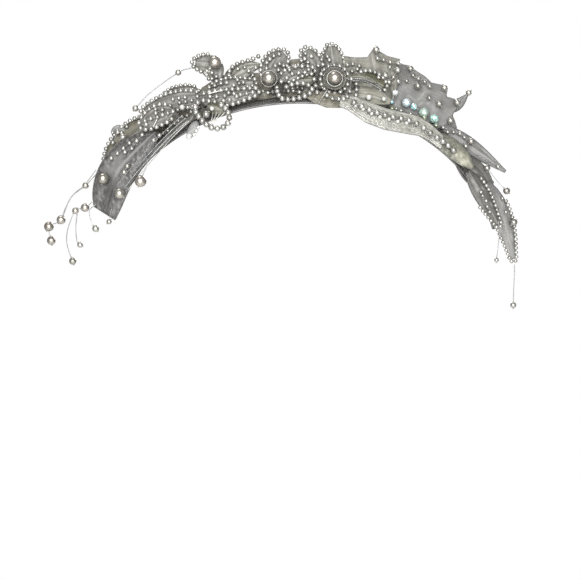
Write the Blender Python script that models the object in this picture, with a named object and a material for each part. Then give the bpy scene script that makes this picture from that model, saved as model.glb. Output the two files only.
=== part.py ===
"""Pearl tiara: a net headband arch with bead-edged organza leaves, two pearl flowers and pearl sprays.

Units in the tables are millimetres. A place in the front view is (across, up), measured from the seat
at the crown, and depth runs from front (negative) to back (positive) of the band's middle line.
place() turns the three into a point in metres: it lets the band's ends sweep back, and it moves the
point along the line of sight, so that the front view keeps the tables' shape.
"""
import math
from collections import namedtuple

import bmesh
import bpy
from mathutils import Matrix, Vector

MM = 0.001

ARCH_HALF_WIDTH = 108.4
ARCH_RISE = 88.0
ARCH_MIDDLE_DROP = 91.9
ARCH_MEAN_RADIUS = 98.0
ARCH_SWEEP_BACK = 25.0
ARCH_LEFT_END = math.radians(-70)
ARCH_RIGHT_END = math.radians(77)
BAND_WIDTH = 23.0
BAND_WALL = 1.2
BAND_TILT = math.radians(20)
BAND_STATIONS = 32
BAND_COLUMNS = 3
EDGE_WIRE_RADIUS = 0.6
EDGE_WIRE_STEPS = 40
END_TURN = 4.0

EYE_ACROSS = -5.5
EYE_UP = -106.7
EYE_DISTANCE = 800.0

GAP = 0.3
LEAF_LEAN = 0.3
RESTING_SLOPE = 1.08
SHEET_WALL = 1.0
STEM_WIDTH = 1.8
STEM_RISE = 2.4
FRONT_ROOT_DEPTH = -13.3
FRONT_LANE = -13.9
FRONT_ROOT_LOW = -0.8
FRONT_ROOT_HIGH = 1.8
ROOT_GAP = 0.5
ROOT_FRONT_LIMIT = -9.5
ROOT_BACK_LIMIT = 9.0

STRING_RADIUS = 1.2
LOOP_STRING_RADIUS = 1.55
FINE_STRING_RADIUS = 0.95
STRING_STEP = 3.1
STRING_SIDES = 6
STRING_STEPS = 6
STRING_SLACK = 0.32
STRING_START = 0.12
STRING_END = 0.2
TIP_TURNS = (42, 0, -42)
TIP_REACH = 1.15
SPINE_POINTS = 25
CURVE_STEPS = 12
THREAD_RADIUS = 0.3
PEARL_SIDES = 10
PEARL_RINGS = 4
BIG_PEARL_SEGMENTS = 14
BIG_PEARL_RINGS = 8
SHARP_DEGREES = 50

CREAM = "cream_organza"
GREY = "grey_organza"
Finish = namedtuple("Finish", "colour roughness metallic alpha")
FINISHES = {
    "net": Finish((0.32, 0.31, 0.27), 0.55, 0.0, 0.8),
    "wire": Finish((0.72, 0.71, 0.68), 0.3, 0.9, 1.0),
    "organza": Finish((0.42, 0.41, 0.37), 0.4, 0.0, 0.8),
    CREAM: Finish((0.72, 0.70, 0.58), 0.4, 0.0, 0.85),
    GREY: Finish((0.36, 0.37, 0.38), 0.4, 0.0, 0.8),
    "lace": Finish((0.62, 0.61, 0.54), 0.7, 0.0, 0.95),
    "seed_pearl": Finish((0.66, 0.65, 0.61), 0.22, 0.1, 1.0),
    "pearl": Finish((0.62, 0.58, 0.52), 0.18, 0.1, 1.0),
    "sequin_cup": Finish((0.66, 0.63, 0.54), 0.15, 0.0, 0.6),
    "crystal": Finish((0.62, 0.86, 0.84), 0.05, 0.0, 0.9),
}

Leaf = namedtuple("Leaf", "name shape base mid tip depth curl width cup finish", defaults=("organza",))
Spot = namedtuple("Spot", "across up depth")
Bead = namedtuple("Bead", "across up depth diameter")

# A leaf runs from base over mid to tip, each (across, up). depth is that of its base, curl is what its
# tip adds to it, and cup is how far its middle bellies to the front. shape names a row of LEAF_SHAPES.
LEFT_LEAVES = (
    Leaf("leaf_left_drop", "blunt", (-80, -20), (-100.2, -41.5), (-107.6, -64.5), -14.6, -0.6, 20.0, 1.2),
    Leaf("leaf_left_scallop", "round", (-78, -13.5), (-92, -22.0), (-105.5, -35), -4.4, 0.5, 12.0, 1.0),
    Leaf("leaf_left_top", "round", (-53, -0.5), (-70, -3.0), (-85.5, -8.6), -9.0, 1.0, 6.4, 0.8),
    Leaf("leaf_left_loop", "round", (-70, -8.4), (-78, -10.6), (-86.5, -16), -18.8, -0.5, 7.4, 0.8),
    Leaf("leaf_tongue", "round", (-55, 2.0), (-64, 2.6), (-73, 0.9), 0.0, 2.0, 3.6, 0.5),
    Leaf("leaf_upturned", "round", (-46, 8.5), (-48.0, 16.6), (-57.4, 18.4), -5.0, 1.0, 7.6, 0.8),
    Leaf("leaf_mid_left", "lance", (-56, -2.5), (-38.5, -0.5), (-24.5, 2.4), -14.2, 0.0, 5.2, 0.8),
    Leaf("leaf_mid_left_upper", "lance", (-50, 3.2), (-38, 6.4), (-25.6, 7.6), -9.0, 0.0, 4.6, 0.5),
)
CENTRE_PETALS = (
    Leaf("petal_1_top", "round", (-16, 7.0), (-14.0, 17.0), (-8.6, 23.2), -6.0, 1.0, 10.2, 1.2),
    Leaf("petal_1_right", "lance", (-10.5, 9.0), (-1.0, 13.6), (6.6, 14.0), -11.0, 0.0, 4.2, 0.5),
    Leaf("petal_2_left", "round", (9.5, 13.5), (6.0, 20.0), (3.0, 24.9), -8.5, 0.0, 7.0, 0.8),
    Leaf("petal_2_top", "round", (18.5, 7.5), (18.0, 19.0), (17.0, 27.2), -5.0, 1.0, 9.4, 1.0),
)
RIGHT_LEAVES = (
    Leaf("leaf_right_loop", "round", (30.5, 8.2), (38, 8.6), (46.2, 5.4), -10.5, 0.0, 7.4, 0.8),
    Leaf("star_back", "lance", (82.5, -8.5), (87.5, -4.0), (92.2, 0.9), 4.5, 1.0, 5.0, 0.3, GREY),
    Leaf("cream_leaf", "round", (71, -20.5), (83.6, -28.9), (95.0, -39.5), -14.4, 0.0, 9.2, 1.0, CREAM),
    Leaf("leaf_right_point", "lance", (79, -17.0), (95.4, -29.0), (113.0, -41.6), -7.5, 0.5, 8.0, 1.0, GREY),
    Leaf("leaf_drop_inner", "lance", (93, -42), (101, -56), (109, -70.5), -15.2, -0.5, 6.4, 0.8),
    Leaf("leaf_drop_outer", "lance", (103, -48), (112, -68), (117.3, -89.5), -10.6, 0.0, 7.4, 0.8, GREY),
)
LACE_TAB = Leaf("lace_tab", "round", (-56.5, -14), (-59, -18.5), (-61.5, -23), -16.2, -0.4, 4.6, 0.3, "lace")

# Half width of a leaf at eleven even steps from its base to its tip, as a share of the widest half
LEAF_SHAPES = {
    "lance": (0.35, 0.62, 0.84, 0.97, 1.0, 0.95, 0.84, 0.68, 0.48, 0.26, 0.06),
    "round": (0.30, 0.58, 0.80, 0.94, 1.0, 1.0, 0.96, 0.88, 0.74, 0.52, 0.16),
    "blunt": (0.28, 0.52, 0.72, 0.86, 0.96, 1.0, 1.0, 0.97, 0.90, 0.80, 0.62),
}
LEAF_STATIONS = 9
STEM_STATIONS = 3
CUP_FADE = 0.15

# Sheets whose edges are drawn station by station, lower edge against upper edge
Station = namedtuple("Station", "low_across low_up high_across high_up")
HORN_STATIONS = (
    Station(30.8, -0.8, 27.0, 20.8),
    Station(34.0, -1.4, 33.0, 20.8),
    Station(38.5, -2.0, 39.0, 22.5),
    Station(42.0, -2.0, 41.8, 26.6),
    Station(46.0, -1.0, 46.4, 21.6),
    Station(50.5, 2.5, 55.0, 19.4),
)
STAR_STATIONS = (
    Station(48.4, -1.0, 52.0, 17.0),
    Station(56.6, -4.8, 61.0, 16.2),
    Station(61.0, -7.8, 65.5, 12.4),
    Station(65.6, -10.4, 72.0, 7.2),
    Station(69.6, -12.8, 80.3, 4.8),
    Station(73.0, -15.0, 80.3, -0.6),
    Station(76.0, -17.0, 87.6, -3.3),
    Station(79.2, -19.2, 83.6, -9.4),
    Station(82.0, -21.2, 85.0, -14.4),
)
LACE_STATIONS = (
    Station(22.6, -5.0, 24.2, -0.8),
    Station(27.0, -7.7, 30.8, -1.2),
    Station(33.0, -12.1, 38.5, -4.4),
    Station(41.8, -16.5, 48.4, -7.7),
    Station(50.6, -19.3, 58.3, -9.9),
    Station(59.4, -20.4, 66.0, -12.1),
    Station(67.1, -22.0, 72.1, -16.5),
    Station(75.4, -26.6, 77.0, -24.0),
)
HORN_DEPTH = -5.5
HORN_BELLY = 1.0
STAR_DEPTH = -1.5
STAR_BELLY = 1.2
LACE_DEPTH = -18.4
LACE_BELLY = 0.8

SPIKE_STRING = (
    Spot(-38.6, 8.8, -7.4),
    Spot(-39.0, 12.6, -6.0),
    Spot(-37.6, 15.6, -5.6),
    Spot(-33.7, 18.0, -5.6),
    Spot(-27.7, 19.8, -5.6),
    Spot(-22.9, 21.8, -5.6),
)
LOW_LOOP_STRING = (
    Spot(-56.2, -3.6, -16.9),
    Spot(-57.6, -8.0, -19.2),
    Spot(-52.8, -14.5, -20.2),
    Spot(-46.9, -17.8, -20.0),
    Spot(-41.0, -16.5, -20.0),
    Spot(-38.8, -12.0, -19.2),
    Spot(-40.4, -7.4, -17.8),
    Spot(-43.2, -4.9, -17.3),
)
OPEN_LOOP_STRING = (
    Spot(-12.7, 4.6, -11.4),
    Spot(-12.0, 1.4, -13.6),
    Spot(-9.7, -1.4, -14.8),
    Spot(-3.7, -1.6, -15.0),
    Spot(3.5, 0.4, -15.0),
    Spot(6.8, 3.4, -14.6),
    Spot(3.4, 6.6, -14.2),
    Spot(-2.6, 6.8, -14.0),
    Spot(-7.4, 5.0, -13.6),
)
LACE_ROW_STRING = (
    Spot(29.8, -3.6, -21.4),
    Spot(38.9, -7.9, -21.4),
    Spot(48.6, -10.9, -21.4),
    Spot(58.3, -12.9, -21.4),
    Spot(65.3, -15.6, -21.6),
    Spot(71.5, -20.0, -22.0),
    Spot(76.5, -23.6, -21.9),
    Spot(80.4, -26.2, -19.4),
    Spot(84.5, -29.8, -17.3),
)

SPRAY_LEFT_OUTER = (
    Bead(-104.5, -36.0, -13.5, 0),
    Bead(-112.0, -43.0, -11.5, 0),
    Bead(-117.9, -49.2, -10.5, 3.6),
    Bead(-126.2, -56.1, -9.5, 0),
    Bead(-131.4, -68.1, -8.5, 5.1),
    Bead(-138.1, -71.8, -8.0, 5.4),
    Bead(-136.8, -79.5, -8.0, 4.9),
)
SPRAY_LEFT_HANGING = (
    Bead(-114.3, -58.2, -14.9, 0),
    Bead(-118.2, -61.4, -14.6, 4.7),
    Bead(-123.5, -63.1, -14.8, 3.7),
    Bead(-127.2, -71.5, -15.2, 0),
    Bead(-128.4, -78.1, -15.2, 0),
    Bead(-127.5, -84.2, -15.0, 0),
    Bead(-125.0, -90.8, -14.8, 4.1),
)
SPRAY_LEFT_INNER = (
    Bead(-112.0, -59.6, -16.3, 0),
    Bead(-115.9, -63.3, -18.6, 0),
    Bead(-114.0, -71.0, -18.8, 0),
    Bead(-112.4, -72.9, -18.8, 3.8),
)
SPRAY_LEFT_TWIG = (
    Bead(-122.6, -64.9, -13.2, 0),
    Bead(-123.3, -72.6, -12.6, 0),
    Bead(-122.6, -80.3, -12.4, 0),
    Bead(-120.9, -81.8, -12.4, 3.3),
)
SPRAY_UPPER_LEFT = (
    Bead(-59.9, 15.3, -3.9, 0),
    Bead(-66.9, 12.9, -3.4, 3.4),
    Bead(-82.5, 1.7, -2.4, 0),
    Bead(-90.4, -6.8, -2.0, 3.6),
)
SPRAY_BROW_LEFT = (
    Bead(-86.0, -29.0, -16.2, 0),
    Bead(-84.0, -36.5, -17.6, 0),
    Bead(-86.6, -43.7, -18.6, 0),
    Bead(-87.7, -46.8, -18.6, 6.4),
)
SPRAY_RIGHT_END = (
    Bead(117.7, -92.2, -10.5, 0),
    Bead(118.0, -96.0, -10.2, 0),
    Bead(117.6, -105.0, -9.8, 0),
    Bead(117.3, -115.0, -9.6, 3.4),
)
STAR_EDGE_PEARLS = (
    Bead(42.0, 25.6, -6.1, 3.6),
    Bead(42.6, 20.8, -6.6, 2.4),
    Bead(46.0, 19.9, -6.5, 2.4),
    Bead(49.6, 18.6, -6.5, 2.4),
    Bead(54.1, 17.9, -6.1, 2.4),
    Bead(60.8, 15.1, -2.9, 3.3),
    Bead(62.3, 11.4, -2.9, 2.4),
    Bead(65.2, 9.6, -2.9, 2.4),
    Bead(68.6, 7.9, -2.9, 2.4),
    Bead(71.3, 5.4, -2.9, 2.4),
    Bead(79.5, 4.6, -2.6, 3.4),
    Bead(76.6, -4.3, -2.9, 3.6),
    Bead(86.6, -3.6, -2.4, 3.3),
    Bead(82.8, -13.6, -2.6, 3.6),
)
STAR_INNER_PEARLS = (
    Bead(49.4, 15.8, -6.9, 2.2),
    Bead(47.0, 11.3, -6.9, 3.6),
    Bead(49.0, 7.6, -6.6, 3.4),
    Bead(51.4, 10.5, -6.8, 2.2),
    Bead(53.8, 14.3, -6.7, 3.6),
    Bead(58.7, 8.3, -3.0, 2.2),
    Bead(64.8, 5.6, -3.0, 3.9),
    Bead(71.2, -1.1, -3.0, 2.2),
)
CRYSTAL_ROW = (
    Bead(50.4, -3.2, -6.0, 2.4),
    Bead(52.4, 1.9, -6.2, 3.4),
    Bead(58.5, -3.6, -1.9, 5.0),
    Bead(62.6, -5.9, -1.9, 3.9),
    Bead(68.0, -9.0, -1.9, 5.6),
    Bead(73.8, -12.6, -1.9, 5.2),
)
POINT_PEARLS = (
    Bead(81.2, -19.9, -8.4, 2.2),
    Bead(87.9, -20.7, -8.7, 2.2),
    Bead(94.2, -24.9, -8.7, 3.6),
    Bead(91.2, -27.6, -8.7, 3.0),
    Bead(98.0, -33.0, -8.7, 0),
    Bead(109.0, -38.9, -7.9, 2.2),
    Bead(102.9, -39.6, -7.9, 3.6),
    Bead(108.6, -47.0, -7.9, 0),
    Bead(113.6, -52.1, -8.0, 3.8),
)

FLOWER_1 = Spot(-17.0, 9.2, -8.6)
FLOWER_1_CUP = 4.8
FLOWER_1_CUP_DEPTH = 2.6
FLOWER_1_PEARL = 7.6
FLOWER_2 = Spot(19.0, 9.2, -8.4)
FLOWER_2_CUP = 6.3
FLOWER_2_CUP_DEPTH = 3.0
FLOWER_2_PEARL = 7.2
CUP_WALL = 0.9
CUP_FOOT_SHARE = 0.55
CUP_WAIST_SHARE = 0.9
CUP_SIDES = 14
RING_SPOTS = 16
UPTURNED_PEARL = Spot(-46.8, 18.6, -5.9)
UPTURNED_PEARL_DIAMETER = 7.2
LEFT_PEARLS = (
    Bead(-94.9, -38.6, -15.6, 2.8),
    Bead(-96.7, -41.9, -15.7, 2.8),
    Bead(-108.3, -45.4, -15.1, 6.2),
    Bead(-99.3, -53.6, -15.4, 5.9),
)


def arch_edge(theta):
    """The band's lower front edge in the front view."""
    return Vector((ARCH_HALF_WIDTH * math.sin(theta), ARCH_RISE * math.cos(theta) - ARCH_MIDDLE_DROP))


def arch_outward(theta):
    return Vector((math.sin(theta) / ARCH_HALF_WIDTH, math.cos(theta) / ARCH_RISE)).normalized()


def arch_angle(across, up):
    return math.atan2(across / ARCH_HALF_WIDTH, (up + ARCH_MIDDLE_DROP) / ARCH_RISE)


def arch_reach(across, up):
    """How far a front-view place lies outside the band's lower front edge."""
    size = math.hypot(across / ARCH_HALF_WIDTH, (up + ARCH_MIDDLE_DROP) / ARCH_RISE)
    return (size - 1) * ARCH_MEAN_RADIUS


def place(across, up, depth):
    """A front-view place and its depth, as a point in metres."""
    turn = math.atan2(across, up + ARCH_MIDDLE_DROP)
    y = depth + ARCH_SWEEP_BACK * (1 - math.cos(turn))
    grow = 1 + y / EYE_DISTANCE
    x = EYE_ACROSS + (across - EYE_ACROSS) * grow
    z = EYE_UP + (up - EYE_UP) * grow
    return Vector((x, y, z)) * MM


def leaning(across, up, depth):
    """Leaves lean back more, the further out they reach."""
    return Vector((across, up, depth + LEAF_LEAN * arch_reach(across, up)))


def on_band(theta, width_place, height):
    """A place on or above the band: width_place runs from its front to its back edge."""
    rise = (width_place + BAND_WIDTH / 2) * math.sin(BAND_TILT) + height * math.cos(BAND_TILT)
    front = arch_edge(theta) + arch_outward(theta) * rise
    depth = width_place * math.cos(BAND_TILT) - height * math.sin(BAND_TILT)
    return Vector((front.x, front.y, depth))


def smooth_path(controls, count):
    """Evenly spaced points on a smooth curve through the control points."""
    fine = []
    last = len(controls) - 1
    for i in range(last):
        p0 = controls[max(i - 1, 0)]
        p1 = controls[i]
        p2 = controls[i + 1]
        p3 = controls[min(i + 2, last)]
        for k in range(CURVE_STEPS):
            t = k / CURVE_STEPS
            fine.append(0.5 * (2 * p1 + (p2 - p0) * t + (2 * p0 - 5 * p1 + 4 * p2 - p3) * t * t
                               + (3 * p1 - p0 - 3 * p2 + p3) * t ** 3))
    fine.append(controls[last].copy())
    lengths = [0.0]
    for a, b in zip(fine, fine[1:]):
        lengths.append(lengths[-1] + (b - a).length)
    path = []
    k = 0
    for i in range(count):
        want = lengths[-1] * i / (count - 1)
        while k < len(fine) - 2 and lengths[k + 1] < want:
            k += 1
        span = max(lengths[k + 1] - lengths[k], 1e-9)
        path.append(fine[k].lerp(fine[k + 1], min(1.0, (want - lengths[k]) / span)))
    return path


def path_length(controls):
    return sum((b - a).length for a, b in zip(controls, controls[1:]))


def share_at(table, t):
    """Reads a table of evenly spaced values at t from 0 to 1."""
    x = min(max(t, 0.0), 1.0) * (len(table) - 1)
    i = min(int(x), len(table) - 2)
    return table[i] + (table[i + 1] - table[i]) * (x - i)


def finish(name):
    """The Principled material of one finish, made once."""
    if name in bpy.data.materials:
        return bpy.data.materials[name]
    look = FINISHES[name]
    material = bpy.data.materials.new(name)
    material.use_nodes = True
    shader = material.node_tree.nodes["Principled BSDF"]
    shader.inputs["Base Color"].default_value = (*look.colour, 1)
    shader.inputs["Roughness"].default_value = look.roughness
    shader.inputs["Metallic"].default_value = look.metallic
    shader.inputs["Alpha"].default_value = look.alpha
    material.diffuse_color = (*look.colour, 1)
    return material


def add_object(name, verts, faces, finish_name, sharp_degrees=SHARP_DEGREES):
    """A closed mesh from points in metres, faces turned outward, as one named object."""
    mesh = bpy.data.meshes.new(name)
    mesh.from_pydata([tuple(v) for v in verts], [], faces)
    bm = bmesh.new()
    bm.from_mesh(mesh)
    bmesh.ops.recalc_face_normals(bm, faces=bm.faces)
    bm.to_mesh(mesh)
    bm.free()
    mesh.shade_smooth()
    mesh.set_sharp_from_angle(angle=math.radians(sharp_degrees))
    mesh.materials.append(finish(finish_name))
    piece = bpy.data.objects.new(name, mesh)
    bpy.context.scene.collection.objects.link(piece)
    return piece


def thick_sheet(name, grid, wall, finish_name):
    """A sheet of even thickness from a grid of points in metres, rows by columns."""
    rows = len(grid)
    columns = len(grid[0])
    front = []
    back = []
    for i in range(rows):
        for j in range(columns):
            along = grid[min(i + 1, rows - 1)][j] - grid[max(i - 1, 0)][j]
            side = grid[i][min(j + 1, columns - 1)] - grid[i][max(j - 1, 0)]
            normal = along.cross(side).normalized() * (wall * MM / 2)
            front.append(grid[i][j] + normal)
            back.append(grid[i][j] - normal)
    offset = rows * columns
    faces = []
    for i in range(rows - 1):
        for j in range(columns - 1):
            a = i * columns + j
            faces.append((a, a + 1, a + columns + 1, a + columns))
            faces.append((a + offset, a + columns + offset, a + columns + 1 + offset, a + 1 + offset))
    rim = list(range(columns))
    rim += [i * columns + columns - 1 for i in range(1, rows)]
    rim += [(rows - 1) * columns + j for j in range(columns - 2, -1, -1)]
    rim += [i * columns for i in range(rows - 2, 0, -1)]
    for a, b in zip(rim, rim[1:] + rim[:1]):
        faces.append((a, a + offset, b + offset, b))
    return add_object(name, front + back, faces, finish_name)


def swept_tube(name, path, radii, sides, finish_name, closed=False):
    """A round tube along points in metres, with a radius in mm at each."""
    count = len(path)
    normal = None
    verts = []
    for i, point in enumerate(path):
        before = path[i - 1] if i or closed else path[0]
        after = path[(i + 1) % count] if i < count - 1 or closed else path[-1]
        tangent = (after - before).normalized()
        if normal is None:
            normal = tangent.orthogonal()
        normal = (normal - tangent * normal.dot(tangent)).normalized()
        binormal = tangent.cross(normal)
        for k in range(sides):
            turn = math.tau * k / sides
            spoke = normal * math.cos(turn) + binormal * math.sin(turn)
            verts.append(point + spoke * radii[i] * MM)
    faces = []
    for i in range(count if closed else count - 1):
        a = i * sides
        b = ((i + 1) % count) * sides
        for k in range(sides):
            m = (k + 1) % sides
            faces.append((a + k, a + m, b + m, b + k))
    if not closed:
        faces.append(tuple(range(sides)))
        faces.append(tuple((count - 1) * sides + k for k in range(sides)))
    return add_object(name, verts, faces, finish_name)


def ball(name, centre, diameter, finish_name):
    """A round pearl, round in 3-D, with its poles up and down."""
    bm = bmesh.new()
    bmesh.ops.create_uvsphere(bm, u_segments=BIG_PEARL_SEGMENTS, v_segments=BIG_PEARL_RINGS,
                              radius=diameter * MM / 2)
    verts = [v.co + centre for v in bm.verts]
    faces = [tuple(v.index for v in f.verts) for f in bm.faces]
    bm.free()
    return add_object(name, verts, faces, finish_name)


def stem_root(base, depth):
    """Where a leaf's stem meets the band, and the place just above it."""
    theta = arch_angle(base.x, base.y)
    if depth < FRONT_LANE:
        edge = arch_edge(theta)
        out = arch_outward(theta)
        low = edge + out * FRONT_ROOT_LOW
        high = edge + out * FRONT_ROOT_HIGH
        return Vector((low.x, low.y, FRONT_ROOT_DEPTH)), Vector((high.x, high.y, FRONT_ROOT_DEPTH))
    width_place = min(max(base.z / math.cos(BAND_TILT), ROOT_FRONT_LIMIT), ROOT_BACK_LIMIT)
    root = on_band(theta, width_place, BAND_WALL + ROOT_GAP)
    above = on_band(theta, width_place, BAND_WALL + ROOT_GAP + STEM_RISE)
    return root, above


def leaf_spine(leaf):
    """The leaf's middle line from its base to its tip, in front-view places with depth before leaning."""
    base = Vector((*leaf.base, leaf.depth))
    mid = Vector((*leaf.mid, leaf.depth))
    tip = Vector((*leaf.tip, leaf.depth + leaf.curl))
    return smooth_path([base, mid, tip], SPINE_POINTS)


def leaf_point(spine, leaf, t, side, extra=0.0):
    """A place on the leaf: t from base to tip, side from -1 to 1, extra mm past that edge."""
    x = min(max(t, 0.0), 1.0) * (len(spine) - 1)
    i = min(int(x), len(spine) - 2)
    centre = spine[i].lerp(spine[i + 1], x - i)
    ahead = spine[min(i + 2, len(spine) - 1)] - spine[max(i - 1, 0)]
    across = Vector((-ahead.y, ahead.x)).normalized()
    half = leaf.width / 2 * share_at(LEAF_SHAPES[leaf.shape], t)
    reach = side * half + math.copysign(extra, side)
    fade = math.sin(math.pi * (CUP_FADE + (1 - 2 * CUP_FADE) * t))
    depth = centre.z - leaf.cup * (1 - side * side) * fade
    return leaning(centre.x + across.x * reach, centre.y + across.y * reach, depth)


def build_leaf(leaf):
    """An organza leaf on a narrow stem that starts at the band."""
    spine = leaf_spine(leaf)
    base = leaf_point(spine, leaf, 0, 0)
    root, above = stem_root(base, leaf.depth)
    stem = smooth_path([root, above, base], STEM_STATIONS + 1)[:-1]
    grid = []
    for i, point in enumerate(stem):
        after = stem[i + 1] if i + 1 < len(stem) else base
        ahead = after - point
        across = Vector((-ahead.y, ahead.x)).normalized() * STEM_WIDTH / 2
        grid.append([place(point.x + across.x * s, point.y + across.y * s, point.z) for s in (-1, 0, 1)])
    for i in range(LEAF_STATIONS):
        t = i / (LEAF_STATIONS - 1)
        grid.append([place(*leaf_point(spine, leaf, t, s)) for s in (-1, 0, 1)])
    return thick_sheet(leaf.name, grid, SHEET_WALL, leaf.finish)


def edge_string(name, leaf, radius, start=STRING_START, low_end=STRING_END):
    """A string of seed pearls round the leaf's edge: up one side, round the tip and down the other."""
    spine = leaf_spine(leaf)
    clear = radius + GAP + STRING_SLACK
    steps = [i / STRING_STEPS for i in range(STRING_STEPS + 1)]
    upper = [leaf_point(spine, leaf, start + (1 - start) * share, 1) for share in steps]
    lower = [leaf_point(spine, leaf, low_end + (1 - low_end) * share, -1) for share in steps]
    outline = upper + [upper[-1].lerp(lower[-1], 0.5)] + lower[::-1]
    last = len(outline) - 1
    points = []
    for i, point in enumerate(outline):
        ahead = outline[min(i + 1, last)] - outline[max(i - 1, 0)]
        outward = Vector((-ahead.y, ahead.x)).normalized() * clear
        turns = (0,)
        if i == STRING_STEPS + 1:
            turns = TIP_TURNS
            outward *= TIP_REACH
        for degrees in turns:
            turned = outward.copy()
            turned.rotate(Matrix.Rotation(math.radians(degrees), 2))
            points.append(place(point.x + turned.x, point.y + turned.y, point.z))
    return swept_tube(name, points, [radius] * len(points), STRING_SIDES, "seed_pearl")


def seed_string(name, route, radius, closed=False):
    """A plain tube with the outer size of a string of seed pearls."""
    if closed:
        route = list(route) + [route[0]]
    count = max(4, round(path_length(route) / STRING_STEP) + 1)
    path = smooth_path(route, count)
    if closed:
        path = path[:-1]
    points = [place(*p) for p in path]
    return swept_tube(name, points, [radius] * len(points), STRING_SIDES, "seed_pearl", closed)


def leaned(spots):
    return [leaning(s.across, s.up, s.depth) for s in spots]


def in_front(depth, diameter):
    """The depth at which a bead rests on a sheet whose middle lies at the given depth."""
    return depth - (SHEET_WALL / 2 + GAP + diameter / 2) * RESTING_SLOPE


def sewn(beads):
    """Beads whose depth is that of the sheet below them, moved to rest on its front."""
    return [bead._replace(depth=in_front(bead.depth, bead.diameter)) for bead in beads]


def pearl_strand(name, beads, finish_name="pearl"):
    """A thread or filament with round beads on it, as one body: the tube swells at each bead."""
    knots = [place(*leaning(b.across, b.up, b.depth)) for b in beads]
    points = []
    radii = []
    for i, bead in enumerate(beads):
        towards = knots[min(i + 1, len(knots) - 1)] - knots[max(i - 1, 0)]
        before = (knots[i] - knots[i - 1]).normalized() if i else towards.normalized()
        after = (knots[i + 1] - knots[i]).normalized() if i + 1 < len(knots) else before
        if not bead.diameter:
            points.append(knots[i])
            radii.append(THREAD_RADIUS)
            continue
        size = bead.diameter / 2
        for k in range(PEARL_RINGS + 1):
            turn = math.pi * k / PEARL_RINGS
            shift = -math.cos(turn) * size
            direction = before if shift < 0 else after
            points.append(knots[i] + direction * shift * MM)
            radii.append(max(size * math.sin(turn), THREAD_RADIUS))
    return swept_tube(name, points, radii, PEARL_SIDES, finish_name)


def build_band():
    grid = []
    for i in range(BAND_STATIONS + 1):
        theta = ARCH_LEFT_END + (ARCH_RIGHT_END - ARCH_LEFT_END) * i / BAND_STATIONS
        row = []
        for j in range(BAND_COLUMNS + 1):
            width_place = BAND_WIDTH * (j / BAND_COLUMNS - 0.5)
            row.append(place(*on_band(theta, width_place, BAND_WALL / 2)))
        grid.append(row)
    thick_sheet("band_net", grid, BAND_WALL, "net")


def build_edge_wire():
    """One wire runs round the band: front edge, right end, back edge and left end."""
    clear = BAND_WIDTH / 2 + GAP + EDGE_WIRE_RADIUS
    end_clear = (GAP + EDGE_WIRE_RADIUS) / ARCH_MEAN_RADIUS
    left = ARCH_LEFT_END - end_clear
    right = ARCH_RIGHT_END + end_clear
    height = BAND_WALL / 2
    path = []
    for i in range(EDGE_WIRE_STEPS + 1):
        path.append(place(*on_band(left + (right - left) * i / EDGE_WIRE_STEPS, -clear, height)))
    for width_place in (-END_TURN, END_TURN):
        path.append(place(*on_band(right, width_place, height)))
    for i in range(EDGE_WIRE_STEPS, -1, -1):
        path.append(place(*on_band(left + (right - left) * i / EDGE_WIRE_STEPS, clear, height)))
    for width_place in (END_TURN, -END_TURN):
        path.append(place(*on_band(left, width_place, height)))
    swept_tube("edge_wire", path, [EDGE_WIRE_RADIUS] * len(path), STRING_SIDES, "wire", True)


def ruled_sheet(name, stations, depth, belly, finish_name):
    """A sheet between a lower and an upper edge, with a belly to the front."""
    grid = []
    for station in stations:
        row = []
        for j in range(3):
            share = j / 2
            across = station.low_across + (station.high_across - station.low_across) * share
            up = station.low_up + (station.high_up - station.low_up) * share
            forward = belly * (1 - (2 * share - 1) ** 2)
            row.append(place(*leaning(across, up, depth - forward)))
        grid.append(row)
    return thick_sheet(name, grid, SHEET_WALL, finish_name)


def cup(name, centre, radius, depth):
    """A shallow round cup that opens to the front, turned about the Y direction."""
    wall = CUP_WALL
    foot = radius * CUP_FOOT_SHARE
    waist = radius * CUP_WAIST_SHARE
    profile = ((0.0, 0.0), (foot, 0.0), (waist, -depth / 2), (radius, -depth),
               (radius - wall, -depth), (waist - wall, -depth / 2), (foot - wall / 2, -wall), (0.0, -wall))
    middle = place(*leaning(*centre))
    verts = []
    faces = []
    rings = []
    for distance, forward in profile:
        if distance == 0.0:
            rings.append([len(verts)])
            verts.append(middle + Vector((0, forward, 0)) * MM)
            continue
        ring = []
        for k in range(CUP_SIDES):
            turn = math.tau * k / CUP_SIDES
            ring.append(len(verts))
            spoke = Vector((distance * math.cos(turn), forward, distance * math.sin(turn)))
            verts.append(middle + spoke * MM)
        rings.append(ring)
    for a, b in zip(rings, rings[1:]):
        for k in range(CUP_SIDES):
            m = (k + 1) % CUP_SIDES
            if len(a) == 1:
                faces.append((a[0], b[k], b[m]))
            elif len(b) == 1:
                faces.append((a[k], a[m], b[0]))
            else:
                faces.append((a[k], a[m], b[m], b[k]))
    return add_object(name, verts, faces, "sequin_cup")


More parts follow.
